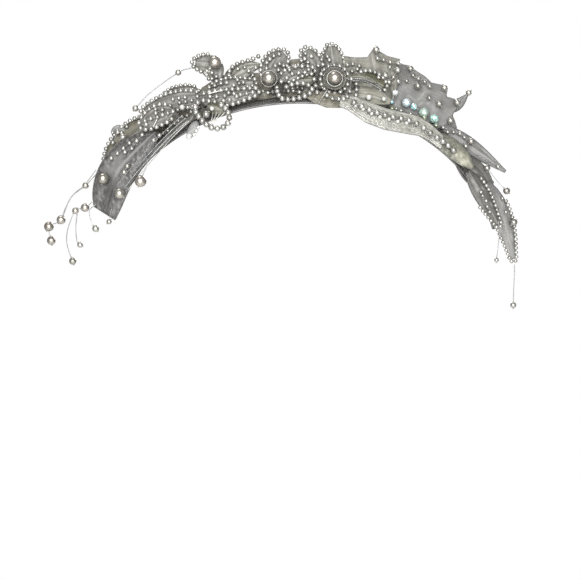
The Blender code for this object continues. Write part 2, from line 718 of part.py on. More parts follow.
def build_flowers():
    cup("cup_1", FLOWER_1, FLOWER_1_CUP, FLOWER_1_CUP_DEPTH)
    cup("cup_2", FLOWER_2, FLOWER_2_CUP, FLOWER_2_CUP_DEPTH)
    pearls = (("pearl_1", FLOWER_1, FLOWER_1_PEARL), ("pearl_2", FLOWER_2, FLOWER_2_PEARL))
    for name, flower, diameter in pearls:
        centre = place(*leaning(*flower)) + Vector((0, -(CUP_WALL + GAP + diameter / 2), 0)) * MM
        ball(name, centre, diameter, "pearl")
    ring = []
    ring_radius = FLOWER_2_CUP + GAP + STRING_RADIUS
    for k in range(RING_SPOTS):
        turn = math.tau * k / RING_SPOTS
        across = FLOWER_2.across + ring_radius * math.cos(turn)
        up = FLOWER_2.up + ring_radius * math.sin(turn)
        ring.append(Spot(across, up, FLOWER_2.depth - FLOWER_2_CUP_DEPTH / 2))
    seed_string("string_flower_2", leaned(ring), STRING_RADIUS, True)


def clear_scene():
    for item in list(bpy.data.objects):
        bpy.data.objects.remove(item)


def build_left():
    leaves = {leaf.name: leaf for leaf in LEFT_LEAVES}
    for leaf in LEFT_LEAVES:
        build_leaf(leaf)
    edge_string("string_scallop", leaves["leaf_left_scallop"], STRING_RADIUS, start=0.7, low_end=0.16)
    edge_string("string_left_top", leaves["leaf_left_top"], STRING_RADIUS)
    edge_string("string_left_loop", leaves["leaf_left_loop"], STRING_RADIUS)
    edge_string("string_tongue", leaves["leaf_tongue"], FINE_STRING_RADIUS)
    edge_string("string_upturned", leaves["leaf_upturned"], STRING_RADIUS)
    edge_string("string_mid_left", leaves["leaf_mid_left"], STRING_RADIUS)
    edge_string("string_mid_upper", leaves["leaf_mid_left_upper"], FINE_STRING_RADIUS)
    seed_string("string_spike", leaned(SPIKE_STRING), FINE_STRING_RADIUS)
    seed_string("string_low_loop", leaned(LOW_LOOP_STRING), LOOP_STRING_RADIUS)
    build_leaf(LACE_TAB)
    pearl = UPTURNED_PEARL
    depth = in_front(pearl.depth, UPTURNED_PEARL_DIAMETER)
    ball("pearl_upturned", place(*leaning(pearl.across, pearl.up, depth)), UPTURNED_PEARL_DIAMETER, "pearl")
    pearl_strand("pearls_left", sewn(LEFT_PEARLS))
    pearl_strand("spray_left_outer", SPRAY_LEFT_OUTER)
    pearl_strand("spray_left_hanging", SPRAY_LEFT_HANGING)
    pearl_strand("spray_left_inner", SPRAY_LEFT_INNER)
    pearl_strand("spray_left_twig", SPRAY_LEFT_TWIG)
    pearl_strand("spray_upper_left", SPRAY_UPPER_LEFT)
    pearl_strand("spray_brow_left", SPRAY_BROW_LEFT)


def build_centre():
    petals = {leaf.name: leaf for leaf in CENTRE_PETALS}
    for leaf in CENTRE_PETALS:
        build_leaf(leaf)
    edge_string("string_petal_1_top", petals["petal_1_top"], STRING_RADIUS)
    edge_string("string_petal_1_right", petals["petal_1_right"], FINE_STRING_RADIUS)
    edge_string("string_petal_2_left", petals["petal_2_left"], STRING_RADIUS)
    edge_string("string_petal_2_top", petals["petal_2_top"], FINE_STRING_RADIUS)
    seed_string("string_open_loop", leaned(OPEN_LOOP_STRING), STRING_RADIUS)
    build_flowers()


def build_right():
    leaves = {leaf.name: leaf for leaf in RIGHT_LEAVES}
    for leaf in RIGHT_LEAVES:
        build_leaf(leaf)
    edge_string("string_right_loop", leaves["leaf_right_loop"], FINE_STRING_RADIUS)
    edge_string("string_drop_inner", leaves["leaf_drop_inner"], FINE_STRING_RADIUS, start=0.2, low_end=0.6)
    edge_string("string_drop_outer", leaves["leaf_drop_outer"], FINE_STRING_RADIUS, start=0.3, low_end=0.6)
    ruled_sheet("horn_sheet", HORN_STATIONS, HORN_DEPTH, HORN_BELLY, "organza")
    ruled_sheet("star_sheet", STAR_STATIONS, STAR_DEPTH, STAR_BELLY, GREY)
    ruled_sheet("lace_leaf", LACE_STATIONS, LACE_DEPTH, LACE_BELLY, "lace")
    seed_string("string_lace_row", leaned(LACE_ROW_STRING), STRING_RADIUS)
    pearl_strand("pearls_star_edge", sewn(STAR_EDGE_PEARLS))
    pearl_strand("pearls_star_inner", sewn(STAR_INNER_PEARLS))
    pearl_strand("pearls_point", sewn(POINT_PEARLS))
    pearl_strand("crystal_row", sewn(CRYSTAL_ROW), "crystal")
    pearl_strand("spray_right_end", SPRAY_RIGHT_END)


def main():
    clear_scene()
    build_band()
    build_edge_wire()
    build_left()
    build_centre()
    build_right()


main()
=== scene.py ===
import math
import random
from collections import namedtuple

import bmesh
import bpy
import numpy as np
from mathutils import Matrix, Vector, noise
from mathutils.bvhtree import BVHTree


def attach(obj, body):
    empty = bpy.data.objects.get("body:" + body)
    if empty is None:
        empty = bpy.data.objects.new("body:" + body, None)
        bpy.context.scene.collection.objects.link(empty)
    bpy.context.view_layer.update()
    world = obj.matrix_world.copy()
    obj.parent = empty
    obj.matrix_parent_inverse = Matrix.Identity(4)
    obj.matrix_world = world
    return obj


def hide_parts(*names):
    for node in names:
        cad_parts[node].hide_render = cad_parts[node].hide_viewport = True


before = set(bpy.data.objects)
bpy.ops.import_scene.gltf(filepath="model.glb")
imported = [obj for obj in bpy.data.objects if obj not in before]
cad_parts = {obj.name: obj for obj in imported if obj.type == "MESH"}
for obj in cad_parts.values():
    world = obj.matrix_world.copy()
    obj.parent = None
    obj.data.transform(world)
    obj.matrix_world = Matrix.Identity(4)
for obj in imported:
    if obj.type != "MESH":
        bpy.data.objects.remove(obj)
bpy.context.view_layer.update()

MM = 0.001

# The arch, the leaves and the line of sight, the same values as in the part's source, in millimetres
ARCH_HALF_WIDTH = 108.4
ARCH_RISE = 88.0
ARCH_MIDDLE_DROP = 91.9
ARCH_MEAN_RADIUS = 98.0
ARCH_SWEEP_BACK = 25.0
ARCH_LEFT_END = math.radians(-70)
ARCH_RIGHT_END = math.radians(77)
BAND_WIDTH = 23.0
BAND_WALL = 1.2
BAND_TILT = math.radians(20)
EDGE_WIRE_RADIUS = 0.6
EYE_ACROSS = -5.5
EYE_UP = -106.7
EYE_DISTANCE = 800.0
GAP = 0.3
LEAF_LEAN = 0.3
STEM_WIDTH = 1.8
STEM_RISE = 2.4
FRONT_ROOT_DEPTH = -13.3
FRONT_LANE = -13.9
FRONT_ROOT_LOW = -0.8
FRONT_ROOT_HIGH = 1.8
ROOT_GAP = 0.5
ROOT_FRONT_LIMIT = -9.5
ROOT_BACK_LIMIT = 9.0
STRING_CLEAR = 0.62
TIP_REACH = 1.15
CUP_FADE = 0.15

# How the visual model is made, in millimetres unless a name says otherwise
CLOTH_WALL = 0.32 * MM
NET_WALL = 0.45 * MM
NET_CELL = 2.6
STEM_ROWS = 7
NARROW_LEAF = 8
SHORT_LEAF = 30
HIDDEN_ROOT = 0.45  # the share of a front leaf's stem root that is left out, under the band's edge
SEED_STEP = 1.37  # from one cloth's noise to the next
STRING_RADIUS_IN_CAD = 1.2
FINE_STRING_RADIUS_IN_CAD = 0.95
LEAF_WIRE = 0.2
STRING_THREAD = 0.16
SEWING_THREAD = 0.13
SPRAY_FILAMENT = 0.28
FINE_FILAMENT = 0.22
LONGEST_STITCH = 9
HOLE_END = 0.55  # how far in a bead's drilled hole is closed, as a share of its radius
BEAD_SPACING = 2.1
BEAD_DEPTH = 1.6
OLIVE_HUE = 0.9
VIEW_WIDTH = 319.0
FLOOR_HEIGHT = -0.46
CLOTH_SLOTS = {"cream": "cream_organza", "grey": "grey_organza", "lace": "lace", "net": "net"}

Leaf = namedtuple("Leaf", "name shape base mid tip depth curl width cup look grow skew", defaults=("organza", 1.3, 0.0))
Edge = namedtuple("Edge", "leaf node diameter start end", defaults=(0.12, 0.2))

LEAVES = (
    Leaf("leaf_left_drop", "blunt", (-80, -20), (-100.2, -41.5), (-107.6, -64.5), -14.6, -0.6, 20.0, 1.2, "veined", 0.3,
         2.3),
    Leaf("leaf_left_scallop", "round", (-78, -13.5), (-92, -22.0), (-105.5, -35), -4.4, 0.5, 12.0, 1.0, "tan"),
    Leaf("leaf_left_top", "round", (-53, -0.5), (-70, -3.0), (-85.5, -8.6), -9.0, 1.0, 6.4, 0.8),
    Leaf("leaf_left_loop", "round", (-70, -8.4), (-78, -10.6), (-86.5, -16), -18.8, -0.5, 7.4, 0.8),
    Leaf("leaf_tongue", "round", (-55, 2.0), (-64, 2.6), (-73, 0.9), 0.0, 2.0, 3.6, 0.5),
    Leaf("leaf_upturned", "round", (-46, 8.5), (-48.0, 16.6), (-57.4, 18.4), -5.0, 1.0, 7.6, 0.8),
    Leaf("leaf_mid_left", "lance", (-56, -2.5), (-38.5, -0.5), (-24.5, 2.4), -14.2, 0.0, 5.2, 0.8),
    Leaf("leaf_mid_left_upper", "lance", (-50, 3.2), (-38, 6.4), (-25.6, 7.6), -9.0, 0.0, 4.6, 0.5),
    Leaf("petal_1_top", "round", (-16, 7.0), (-14.0, 17.0), (-8.6, 23.2), -6.0, 1.0, 10.2, 1.2),
    Leaf("petal_1_right", "lance", (-10.5, 9.0), (-1.0, 13.6), (6.6, 14.0), -11.0, 0.0, 4.2, 0.5),
    Leaf("petal_2_left", "round", (9.5, 13.5), (6.0, 20.0), (3.0, 24.9), -8.5, 0.0, 7.0, 0.8),
    Leaf("petal_2_top", "round", (18.5, 7.5), (18.0, 19.0), (17.0, 27.2), -5.0, 1.0, 9.4, 1.0),
    Leaf("leaf_right_loop", "round", (30.5, 8.2), (38, 8.6), (46.2, 5.4), -10.5, 0.0, 7.4, 0.8, "olive"),
    Leaf("star_back", "lance", (82.5, -8.5), (87.5, -4.0), (92.2, 0.9), 4.5, 1.0, 5.0, 0.3, "grey", 0.3),
    Leaf("cream_leaf", "round", (71, -20.5), (83.6, -28.9), (95.0, -39.5), -14.4, 0.0, 9.2, 1.0, "cream", 0.4),
    Leaf("leaf_right_point", "lance", (79, -17.0), (95.4, -29.0), (113.0, -41.6), -7.5, 0.5, 8.0, 1.0, "grey", 0.4),
    Leaf("leaf_drop_inner", "lance", (93, -42), (101, -56), (109, -70.5), -15.2, -0.5, 6.4, 0.8, "dusk"),
    Leaf("leaf_drop_outer", "lance", (103, -48), (112, -68), (117.3, -89.5), -10.6, 0.0, 7.4, 0.8, "grey"),
    Leaf("lace_tab", "round", (-56.5, -14.0), (-59.0, -18.5), (-61.5, -23.0), -16.2, -0.4, 4.6, 0.3, "sheer", 0.2),
)
# Small cloth pieces that have no solid of their own: they fill in between the leaves
FILLERS = (
    Leaf("petal_pale", "lance", (-38, 9.5), (-29.5, 15.2), (-20.6, 17.0), -4.2, 0.5, 8.6, 0.6, "horn", 0.2),
    Leaf("petal_tan_fill", "round", (26.5, 0.6), (38.0, 0.2), (50.0, -3.4), -12.6, 0.0, 8.6, 0.4, "pale_tan", 0.2),
    Leaf("petal_fan", "round", (-51.0, -5.6), (-45.0, -7.6), (-39.8, -8.8), -16.0, -0.4, 6.6, 0.4, "olive", 0.2),
    Leaf("petal_right_fill", "lance", (86.0, -33.0), (98.6, -45.4), (107.4, -61.0), -9.4, 0.0, 13.0, 0.6, "dusk", 0.2),
    Leaf("petal_left_lobe", "round", (-96.0, -19.5), (-99.4, -18.4), (-103.6, -19.6), -5.2, 0.0, 4.4, 0.0, "grey", 0.2),
    Leaf("petal_olive", "round", (-3.0, 8.4), (2.6, 8.8), (8.2, 9.2), -9.6, 0.0, 6.0, 0.4, "olive", 0.2),
    Leaf("petal_olive_left", "round", (-41, 9.6), (-37.4, 12.6), (-33.4, 15.4), -2.6, 0.0, 5.0, 0.3, "olive", 0.2),
    Leaf("petal_slit_upper", "lance", (25.5, 10.2), (33.5, 10.6), (42.5, 7.0), -13.0, 0.0, 2.8, 0.2, "olive", 0.2),
)
LEAF_SHAPES = {
    "lance": (0.35, 0.62, 0.84, 0.97, 1.0, 0.95, 0.84, 0.68, 0.48, 0.26, 0.06),
    "round": (0.30, 0.58, 0.80, 0.94, 1.0, 1.0, 0.96, 0.88, 0.74, 0.52, 0.16),
    "blunt": (0.28, 0.52, 0.72, 0.86, 0.96, 1.0, 1.0, 0.97, 0.90, 0.80, 0.62),
}

# Sheets between a lower and an upper edge: front-view places along each edge, in millimetres
HORN_LOW = ((24.5, -2.0), (30.8, -3.6), (38.5, -5.4), (46.0, -7.0), (51.0, -4.0), (53.5, 6.0))
HORN_HIGH = ((23.7, 21.9), (30.3, 21.0), (37.1, 21.2), (39.9, 25.2), (41.8, 27.4), (43.7, 24.4), (48.0, 21.9),
             (55.0, 20.1))
STAR_LOW = ((46.4, -6.0), (56.6, -10.4), (65.6, -15.0), (73.0, -19.5), (79.2, -24.0), (83.0, -26.5))
STAR_HIGH = ((52.0, 19.6), (56.5, 17.3), (60.5, 16.5), (63.3, 14.1), (68.9, 10.5), (72.3, 7.2), (78.0, 6.0),
             (81.2, 5.0), (80.4, -0.4), (84.6, -1.6), (88.4, -3.2), (86.0, -7.0), (83.7, -10.1), (85.0, -13.5),
             (86.2, -17.5))
LACE_LOW = ((21.4, -5.6), (26.1, -7.5), (30.7, -10.7), (36.3, -14.6), (46.2, -18.4), (58.3, -20.6), (66.0, -21.9),
            (71.4, -25.0), (77.9, -29.6))
LACE_HIGH = ((23.0, 0.4), (30.8, -0.6), (38.5, -3.8), (48.4, -7.1), (58.3, -9.3), (66.0, -11.5), (72.1, -15.7),
             (79.0, -22.0))
# node, lower edge, upper edge, depth, belly, look, height of the hem
RULED_SHEETS = (
    ("horn_sheet", HORN_LOW, HORN_HIGH, -5.5, 1.0, "horn", 0.1),
    ("star_sheet", STAR_LOW, STAR_HIGH, -1.5, 1.2, "grey", 0.1),
    ("lace_leaf", LACE_LOW, LACE_HIGH, -18.4, 0.8, "lace", 0.35),
)
# Cloth that backs the leaves, close over the band: lower edge, upper edge, depth
BACK_SHEETS = (
    ("back_left", ((-100, -44), (-88, -31.5), (-74, -20.5), (-59, -12)),
     ((-106, -28), (-95, -17), (-82, -7.4), (-62, 2.2)), -1.5),
    ("back_mid_left", ((-57, -1.5), (-44, 1.5), (-32, 2.5), (-20, 3.0)),
     ((-54, 4.6), (-43, 11.4), (-32, 12.6), (-20, 12.8)), -0.8),
    ("front_left", ((-95, -50.5), (-84.5, -37.4), (-73, -25.4), (-60, -14.0)),
     ((-90.5, -42), (-81, -30), (-70.5, -18.5), (-57, -9.0)), -16.6),
    ("front_centre", ((1.0, 0.6), (8.0, -4.0), (14.5, -6.4), (20.5, -6.6), (27.6, -6.2)),
     ((2.0, 2.4), (7.0, 2.4), (12.0, 2.2), (20.0, 1.4), (28.4, -0.6)), -13.5),
    ("back_centre", ((-21, 2.5), (-8, 2.8), (6, 3.6), (24, 3.0)),
     ((-19.5, 14.5), (-7, 19.8), (6, 21.2), (25.5, 19.5)), -1.8),
)

# Strings that run free over the leaves: bead diameter, pitch, route
FREE_STRINGS = {
    "string_spike": (2.6, 3.0, ((-38.6, 8.8, -7.4), (-39.0, 12.6, -6.0), (-37.6, 15.6, -5.6), (-33.7, 18.0, -5.6),
                                (-27.7, 19.8, -5.6), (-22.9, 21.8, -5.6))),
    "string_low_loop": (3.4, 3.5, ((-56.2, -3.6, -16.9), (-57.6, -8.0, -19.2), (-52.8, -14.5, -20.2),
                                   (-46.9, -17.8, -20.0), (-41.0, -16.5, -20.0), (-38.8, -12.0, -19.2),
                                   (-40.4, -7.4, -17.8), (-43.2, -4.9, -17.3))),
    "string_open_loop": (2.9, 3.1, ((-12.7, 4.6, -11.4), (-12.0, 1.4, -13.6), (-9.7, -1.4, -14.8), (-3.7, -1.6, -15.0),
                                    (3.5, 0.4, -15.0), (6.8, 3.4, -14.6), (3.4, 6.6, -14.2), (-2.6, 6.8, -14.0),
                                    (-7.4, 5.0, -13.6))),
    "string_lace_row": (3.1, 4.5, ((29.8, -3.6, -21.4), (38.9, -7.9, -21.4), (48.6, -10.9, -21.4), (58.3, -12.9, -21.4),
                                   (65.3, -15.6, -21.6), (71.5, -20.0, -22.0), (76.5, -23.6, -21.9),
                                   (80.4, -26.2, -19.4), (84.5, -29.8, -17.3))),
}
# Strings round a leaf's edge: bead diameter, and where it starts on the upper side and ends on the lower side
EDGE_STRINGS = (
    Edge("leaf_left_scallop", "string_scallop", 2.4, 0.70, 0.16),
    Edge("leaf_left_top", "string_left_top", 2.4),
    Edge("leaf_left_loop", "string_left_loop", 2.5),
    Edge("leaf_tongue", "string_tongue", 2.1),
    Edge("leaf_upturned", "string_upturned", 2.3, 0.12, 0.66),
    Edge("leaf_mid_left", "string_mid_left", 2.6),
    Edge("leaf_mid_left_upper", "string_mid_upper", 2.2),
    Edge("petal_1_top", "string_petal_1_top", 2.4),
    Edge("petal_1_right", "string_petal_1_right", 2.2),
    Edge("petal_2_left", "string_petal_2_left", 2.4),
    Edge("petal_2_top", "string_petal_2_top", 2.2),
    Edge("leaf_right_loop", "string_right_loop", 2.2),
    Edge("leaf_drop_inner", "string_drop_inner", 2.0, 0.2, 0.6),
    Edge("leaf_drop_outer", "string_drop_outer", 2.0, 0.3, 0.6),
)
# Rows of single beads that are sewn on whatever cloth lies behind them in the front view
SEWN_ROWS = (
    (2.4, ((-85.2, -9.7), (-87.6, -11.2), (-90.4, -13.1), (-93.1, -15.2), (-95.3, -16.9))),
    (2.6, ((-100.3, -20.0), (-102.0, -20.7), (-103.7, -22.6), (-102.9, -25.7), (-105.1, -27.4))),
    (2.4, ((-82.4, -7.4), (-79.3, -9.4), (-75.7, -7.6), (-71.5, -5.4))),
    (2.4, ((-85.3, -13.6), (-82.1, -12.4), (-78.5, -11.6), (-75.6, -10.3), (-72.7, -9.4), (-69.9, -8.5))),
    (2.4, ((-86.8, -21.3), (-89.8, -24.6), (-88.8, -25.6), (-92.5, -28.8), (-96.3, -30.8))),
    (2.6, ((-77.3, -21.6), (-80.5, -24.2), (-79.0, -27.0))),
    (2.2, ((-70.6, 2.4), (-67.3, 3.4), (-64.0, 3.9), (-60.8, 4.1))),
    (2.4, ((-44.7, 23.1), (-52.9, 22.5))),
    (2.4, ((-48.4, 12.8), (-46.0, 10.7), (-46.4, 8.3), (-48.4, 9.4), (-50.9, 7.5), (-53.6, 5.4), (-55.6, 2.8))),
    (2.6, ((-41.5, 9.0), (-40.3, 7.3), (-43.5, 6.9), (-46.9, 5.7), (-49.9, 4.7))),
    (2.4, ((-37.1, 12.6), (-34.4, 10.8), (-34.4, 8.9), (-36.4, 5.8))),
    (2.4, ((-52.9, 0.5), (-49.5, -0.3), (-45.8, -0.4), (-41.4, 0.0), (-39.2, 1.8), (-35.8, 3.3), (-32.6, 4.1),
           (-29.4, 4.0), (-26.2, 3.9), (-23.3, 3.5), (-20.0, 3.5))),
    (2.2, ((-31.1, 7.4), (-28.2, 7.6), (-25.5, 7.4), (-22.8, 8.0), (-29.2, 10.5), (-26.1, 11.4), (-24.1, 10.3))),
    (2.6, ((-56.7, -2.5), (-53.1, -2.5), (-50.1, -2.8), (-46.9, -3.1), (-44.1, -4.0), (-34.8, -0.2))),
    (2.4, ((-18.4, 15.1), (-18.3, 18.3), (-16.6, 20.2), (-14.4, 22.0), (-11.4, 23.0), (-7.9, 23.7), (-4.5, 23.2))),
    (2.4, ((-3.7, 20.7), (-5.1, 19.7), (-6.8, 18.4), (-8.9, 16.6), (-11.2, 17.7), (-13.6, 16.6), (-11.8, 14.2))),
    (2.5, ((-5.7, 14.4), (-2.5, 16.2), (1.2, 16.4), (4.4, 15.4), (7.5, 14.1), (6.2, 12.1), (2.7, 13.0), (-0.7, 12.7),
           (-4.2, 12.2), (-7.2, 9.9), (-10.2, 7.9))),
    (2.6, ((-6.4, 4.7), (-3.7, 2.8), (-0.3, 2.1), (3.6, 5.3), (-5.0, 7.1), (-0.7, 6.4), (7.8, 9.2), (8.6, 5.6),
           (9.4, 2.0))),
    (2.4, ((10.1, 16.7), (10.9, 18.1), (6.9, 17.4), (4.4, 18.5), (2.6, 20.4), (1.5, 22.6), (1.0, 24.8))),
    (2.4, ((6.3, 26.0), (9.6, 26.4), (9.7, 24.4), (6.3, 21.8))),
    (2.3, ((12.9, 23.7), (15.1, 21.7), (16.2, 19.7), (17.2, 18.0))),
    (2.4, ((26.1, -0.3), (24.0, -1.5), (21.4, -1.7), (17.9, -1.4), (14.9, 0.3), (11.8, 3.1))),
    (2.3, ((26.1, 17.1), (29.1, 17.5), (32.7, 16.5))),
    (2.3, ((25.3, 13.1), (28.7, 13.5), (31.6, 14.7), (35.0, 14.8), (38.4, 14.7), (41.5, 13.2), (43.3, 10.3))),
    (2.3, ((28.3, 9.4), (28.1, 5.5), (27.4, 2.4), (29.9, -2.8))),
    (2.5, ((31.0, 6.6), (31.2, 3.4), (30.9, 0.4))),
    (3.4, ((54.0, 8.0),)),
    (3.3, ((49.0, 4.3),)),
    (2.2, ((78.8, -17.4), (81.2, -19.9), (84.5, -19.9), (87.9, -20.7), (90.4, -22.7))),
    (1.9, ((99.6, -52.8), (100.5, -54.8), (101.8, -55.8), (102.4, -57.6), (103.0, -60.7), (104.4, -63.6))),
    (1.8, ((111.3, -56.3), (111.4, -57.8), (112.9, -58.0), (113.2, -63.8))),
)

# Rows that run inside a leaf's edge: leaf, side of its middle line, start and end along it, diameter
INNER_ROWS = (
    ("leaf_left_top", 0.45, 0.2, 0.92, 2.3), ("leaf_left_top", -0.35, 0.1, 0.9, 2.2),
    ("leaf_left_loop", 0.4, 0.15, 0.9, 2.3), ("leaf_left_loop", -0.3, 0.2, 0.85, 2.2),
    ("leaf_mid_left", 0.1, 0.1, 0.95, 2.2), ("leaf_mid_left_upper", 0.0, 0.15, 0.95, 2.1),
    ("petal_1_right", 0.0, 0.1, 0.95, 2.1), ("petal_1_top", 0.55, 0.2, 0.6, 2.2),
    ("petal_2_left", -0.3, 0.3, 0.8, 2.1), ("petal_2_top", -0.6, 0.2, 0.5, 2.1), ("leaf_tongue", 0.0, 0.1, 0.9, 2.0),
    ("leaf_left_scallop", 0.3, 0.45, 0.95, 2.3), ("petal_left_lobe", 0.9, 0.2, 0.95, 2.1),
    ("leaf_mid_left", -0.62, 0.02, 0.95, 2.3), ("leaf_mid_left", 0.7, 0.1, 0.95, 2.2),
    ("leaf_mid_left_upper", 0.62, 0.05, 0.9, 2.2), ("leaf_left_top", 0.0, 0.3, 0.75, 2.2),
    ("leaf_left_loop", 0.0, 0.05, 0.5, 2.2), ("petal_1_right", 0.7, 0.2, 0.9, 2.2),
    ("petal_1_right", -0.7, 0.2, 0.9, 2.1), ("petal_2_left", 0.45, 0.35, 0.9, 2.1),
    ("petal_olive", -0.5, 0.2, 0.9, 2.1), ("petal_pale", -0.5, 0.1, 0.8, 2.2), ("petal_pale", 0.2, 0.15, 0.5, 2.1),
    ("petal_olive_left", 0.0, 0.2, 0.9, 2.1),
)

# Sprays of filament with pearls, from the band outwards; a diameter of 0 is a bend of the filament
SPRAYS = {
    "spray_left_outer": (
        (-104.5, -36.0, -13.5, 0), (-112.0, -43.0, -11.5, 0), (-117.9, -49.2, -10.5, 3.6), (-126.2, -56.1, -9.5, 0),
        (-131.4, -68.1, -8.5, 5.1), (-138.1, -71.8, -8.0, 5.4), (-136.8, -79.5, -8.0, 4.9),
    ),
    "spray_left_hanging": (
        (-114.3, -58.2, -14.9, 0), (-118.2, -61.4, -14.6, 4.7), (-123.5, -63.1, -14.8, 3.7), (-127.2, -71.5, -15.2, 0),
        (-128.4, -78.1, -15.2, 0), (-127.5, -84.2, -15.0, 0), (-125.0, -90.8, -14.8, 4.1),
    ),
    "spray_left_inner": (
        (-112.0, -59.6, -16.3, 0), (-115.9, -63.3, -18.6, 0), (-114.0, -71.0, -18.8, 0), (-112.4, -72.9, -18.8, 3.8),
    ),
    "spray_left_twig": (
        (-122.6, -64.9, -13.2, 0), (-123.3, -72.6, -12.6, 0), (-122.6, -80.3, -12.4, 0), (-120.9, -81.8, -12.4, 3.3),
    ),
    "spray_upper_left": (
        (-59.9, 15.3, -3.9, 0), (-66.9, 12.9, -3.4, 3.4), (-82.5, 1.7, -2.4, 0), (-90.4, -6.8, -2.0, 3.6),
    ),
    "spray_brow_left": (
        (-86.0, -29.0, -16.2, 0), (-84.0, -36.5, -17.6, 0), (-86.6, -43.7, -18.6, 0), (-87.7, -46.8, -18.6, 6.4),
    ),
    "spray_right_end": (
        (117.7, -92.2, -10.5, 0), (118.0, -96.0, -10.2, 0), (117.6, -105.0, -9.8, 0), (117.3, -115.0, -9.6, 3.4),
    ),
}
# Pearls and crystals sewn in a row on a sheet whose middle lies at the given depth
SEWN_STRANDS = {
    "pearls_left": (
        (-94.9, -38.6, -15.6, 2.8), (-96.7, -41.9, -15.7, 2.8), (-108.3, -45.4, -15.1, 6.2),
        (-99.3, -53.6, -15.4, 5.9),
    ),
    "pearls_star_edge": (
        (42.0, 25.6, -6.1, 3.6), (42.6, 20.8, -6.6, 2.4), (46.0, 19.9, -6.5, 2.4), (49.6, 18.6, -6.5, 2.4),
        (54.1, 17.9, -6.1, 2.4), (60.8, 15.1, -2.9, 3.3), (62.3, 11.4, -2.9, 2.4), (65.2, 9.6, -2.9, 2.4),
        (68.6, 7.9, -2.9, 2.4), (71.3, 5.4, -2.9, 2.4), (79.5, 4.6, -2.6, 3.4), (76.6, -4.3, -2.9, 3.6),
        (86.6, -3.6, -2.4, 3.3), (82.8, -13.6, -2.6, 3.6),
    ),
    "pearls_star_inner": (
        (49.4, 15.8, -6.9, 2.2), (47.0, 11.3, -6.9, 3.6), (49.0, 7.6, -6.6, 3.4), (51.4, 10.5, -6.8, 2.2),
        (53.8, 14.3, -6.7, 3.6), (58.7, 8.3, -3.0, 2.2), (64.8, 5.6, -3.0, 3.9), (71.2, -1.1, -3.0, 2.2),
    ),
    "pearls_point": (
        (81.2, -19.9, -8.4, 2.2), (87.9, -20.7, -8.7, 2.2), (94.2, -24.9, -8.7, 3.6), (91.2, -27.6, -8.7, 3.0),
        (98.0, -33.0, -8.7, 0), (109.0, -38.9, -7.9, 2.2), (102.9, -39.6, -7.9, 3.6), (108.6, -47.0, -7.9, 0),
        (113.6, -52.1, -8.0, 3.8),
    ),
}
# Crystals: place, diameter, and the colour of the film: 0 white, 0.36 cyan, 0.62 mint, from OLIVE_HUE on olive and
# sewn on without the row's thread
CRYSTALS = ((50.4, -3.2, -6.0, 2.4, 0.3), (52.4, 1.9, -6.2, 3.4, 0.0), (58.5, -3.6, -1.9, 5.0, 0.12),
            (62.6, -5.9, -1.9, 3.9, 0.5), (68.0, -9.0, -1.9, 5.6, 0.8), (73.8, -12.6, -1.9, 5.2, 0.68),
            (50.6, -6.9, -6.6, 2.8, 1.0), (68.6, -12.3, -6.6, 3.0, 1.0), (74.9, -16.3, -6.4, 2.8, 0.95))
SHEET_HALF_IN_CAD = 0.5
RUCHE_FOOT = BAND_WALL + 0.25
RUCHE_PACE = 0.62
RUCHE_LEFT = math.radians(-66)
RUCHE_RIGHT = math.radians(74)
RUCHE_FRONT = -5.0
RUCHE_BACK = 10.6
# Start and end in degrees, middle and swing across the band, waves, bead diameter
RUCHE_STRINGS = ((-64, 72, 1.5, 3.4, 11.0, 2.3), (-60, 70, 6.6, 2.2, 15.0, 2.1))
RESTING_SLOPE = 1.08
# Name, across, up, depth, cup radius, cup depth, pearl diameter
FLOWERS = (
    ("1", -17.0, 9.2, -8.6, 4.8, 2.6, 7.6),
    ("2", 19.0, 9.2, -8.4, 6.3, 3.0, 7.2),
)
CUP_WALL_IN_CAD = 0.9
UPTURNED_PEARL = (-46.8, 18.6, -5.9, 7.2)
LONE_PEARLS = ((92.8, 1.8, 4.6, 3.3), (-105.0, -69.1, -16.4, 2.9), (-51.5, -10.0, -19.6, 3.8),
               (-97.4, -22.6, -9.4, 4.0), (117.6, -69.4, -14.2, 4.0))
HANGING_FILAMENT = ((109.0, -68.6, -16.6), (109.6, -76.0, -16.2), (108.1, -90.2, -15.8))
SHORT_FILAMENT = ((-103.6, -62.0, -16.8), (-104.6, -65.6, -17.2), (-105.0, -69.1, -16.4))
# The second leg of the left outer spray's filament
SECOND_LEG = ((-112.2, -40.6, -12.6), (-118.6, -49.0, -11.2), (-124.4, -54.0, -10.4), (-128.6, -60.8, -9.4),
              (-131.2, -67.0, -8.6))
LEFT_BUNDLE = ((-97.0, -51.2), (-90.6, -43.0), (-83.6, -35.2), (-72.6, -23.4), (-61.6, -13.4))
# A clear filament drawn white: a painted highlight of light along it
LOW_FILAMENT = ((-94.6, -51.6, -16.6), (-86.6, -41.6, -17.6), (-74.2, -27.2, -18.0), (-66.6, -19.2, -18.0),
                (-60.0, -12.6, -16.6))
RIGHT_CORD = ((27.4, 9.6, -13.4), (33.9, 9.5, -13.6), (38.0, 8.4, -13.4), (41.2, 6.8, -12.8), (44.8, 4.6, -11.8))
# White stitches, start and end; the second, on the left leaf, is a painted highlight drawn as a white stroke
STITCHES = (((15.2, 3.6, -14.0), (10.2, -4.0, -15.0)), ((-80.8, -17.2, -21.0), (-78.4, -12.4, -20.6)),
            ((-51.4, 1.0, -16.0), (-41.4, 3.4, -15.4)))
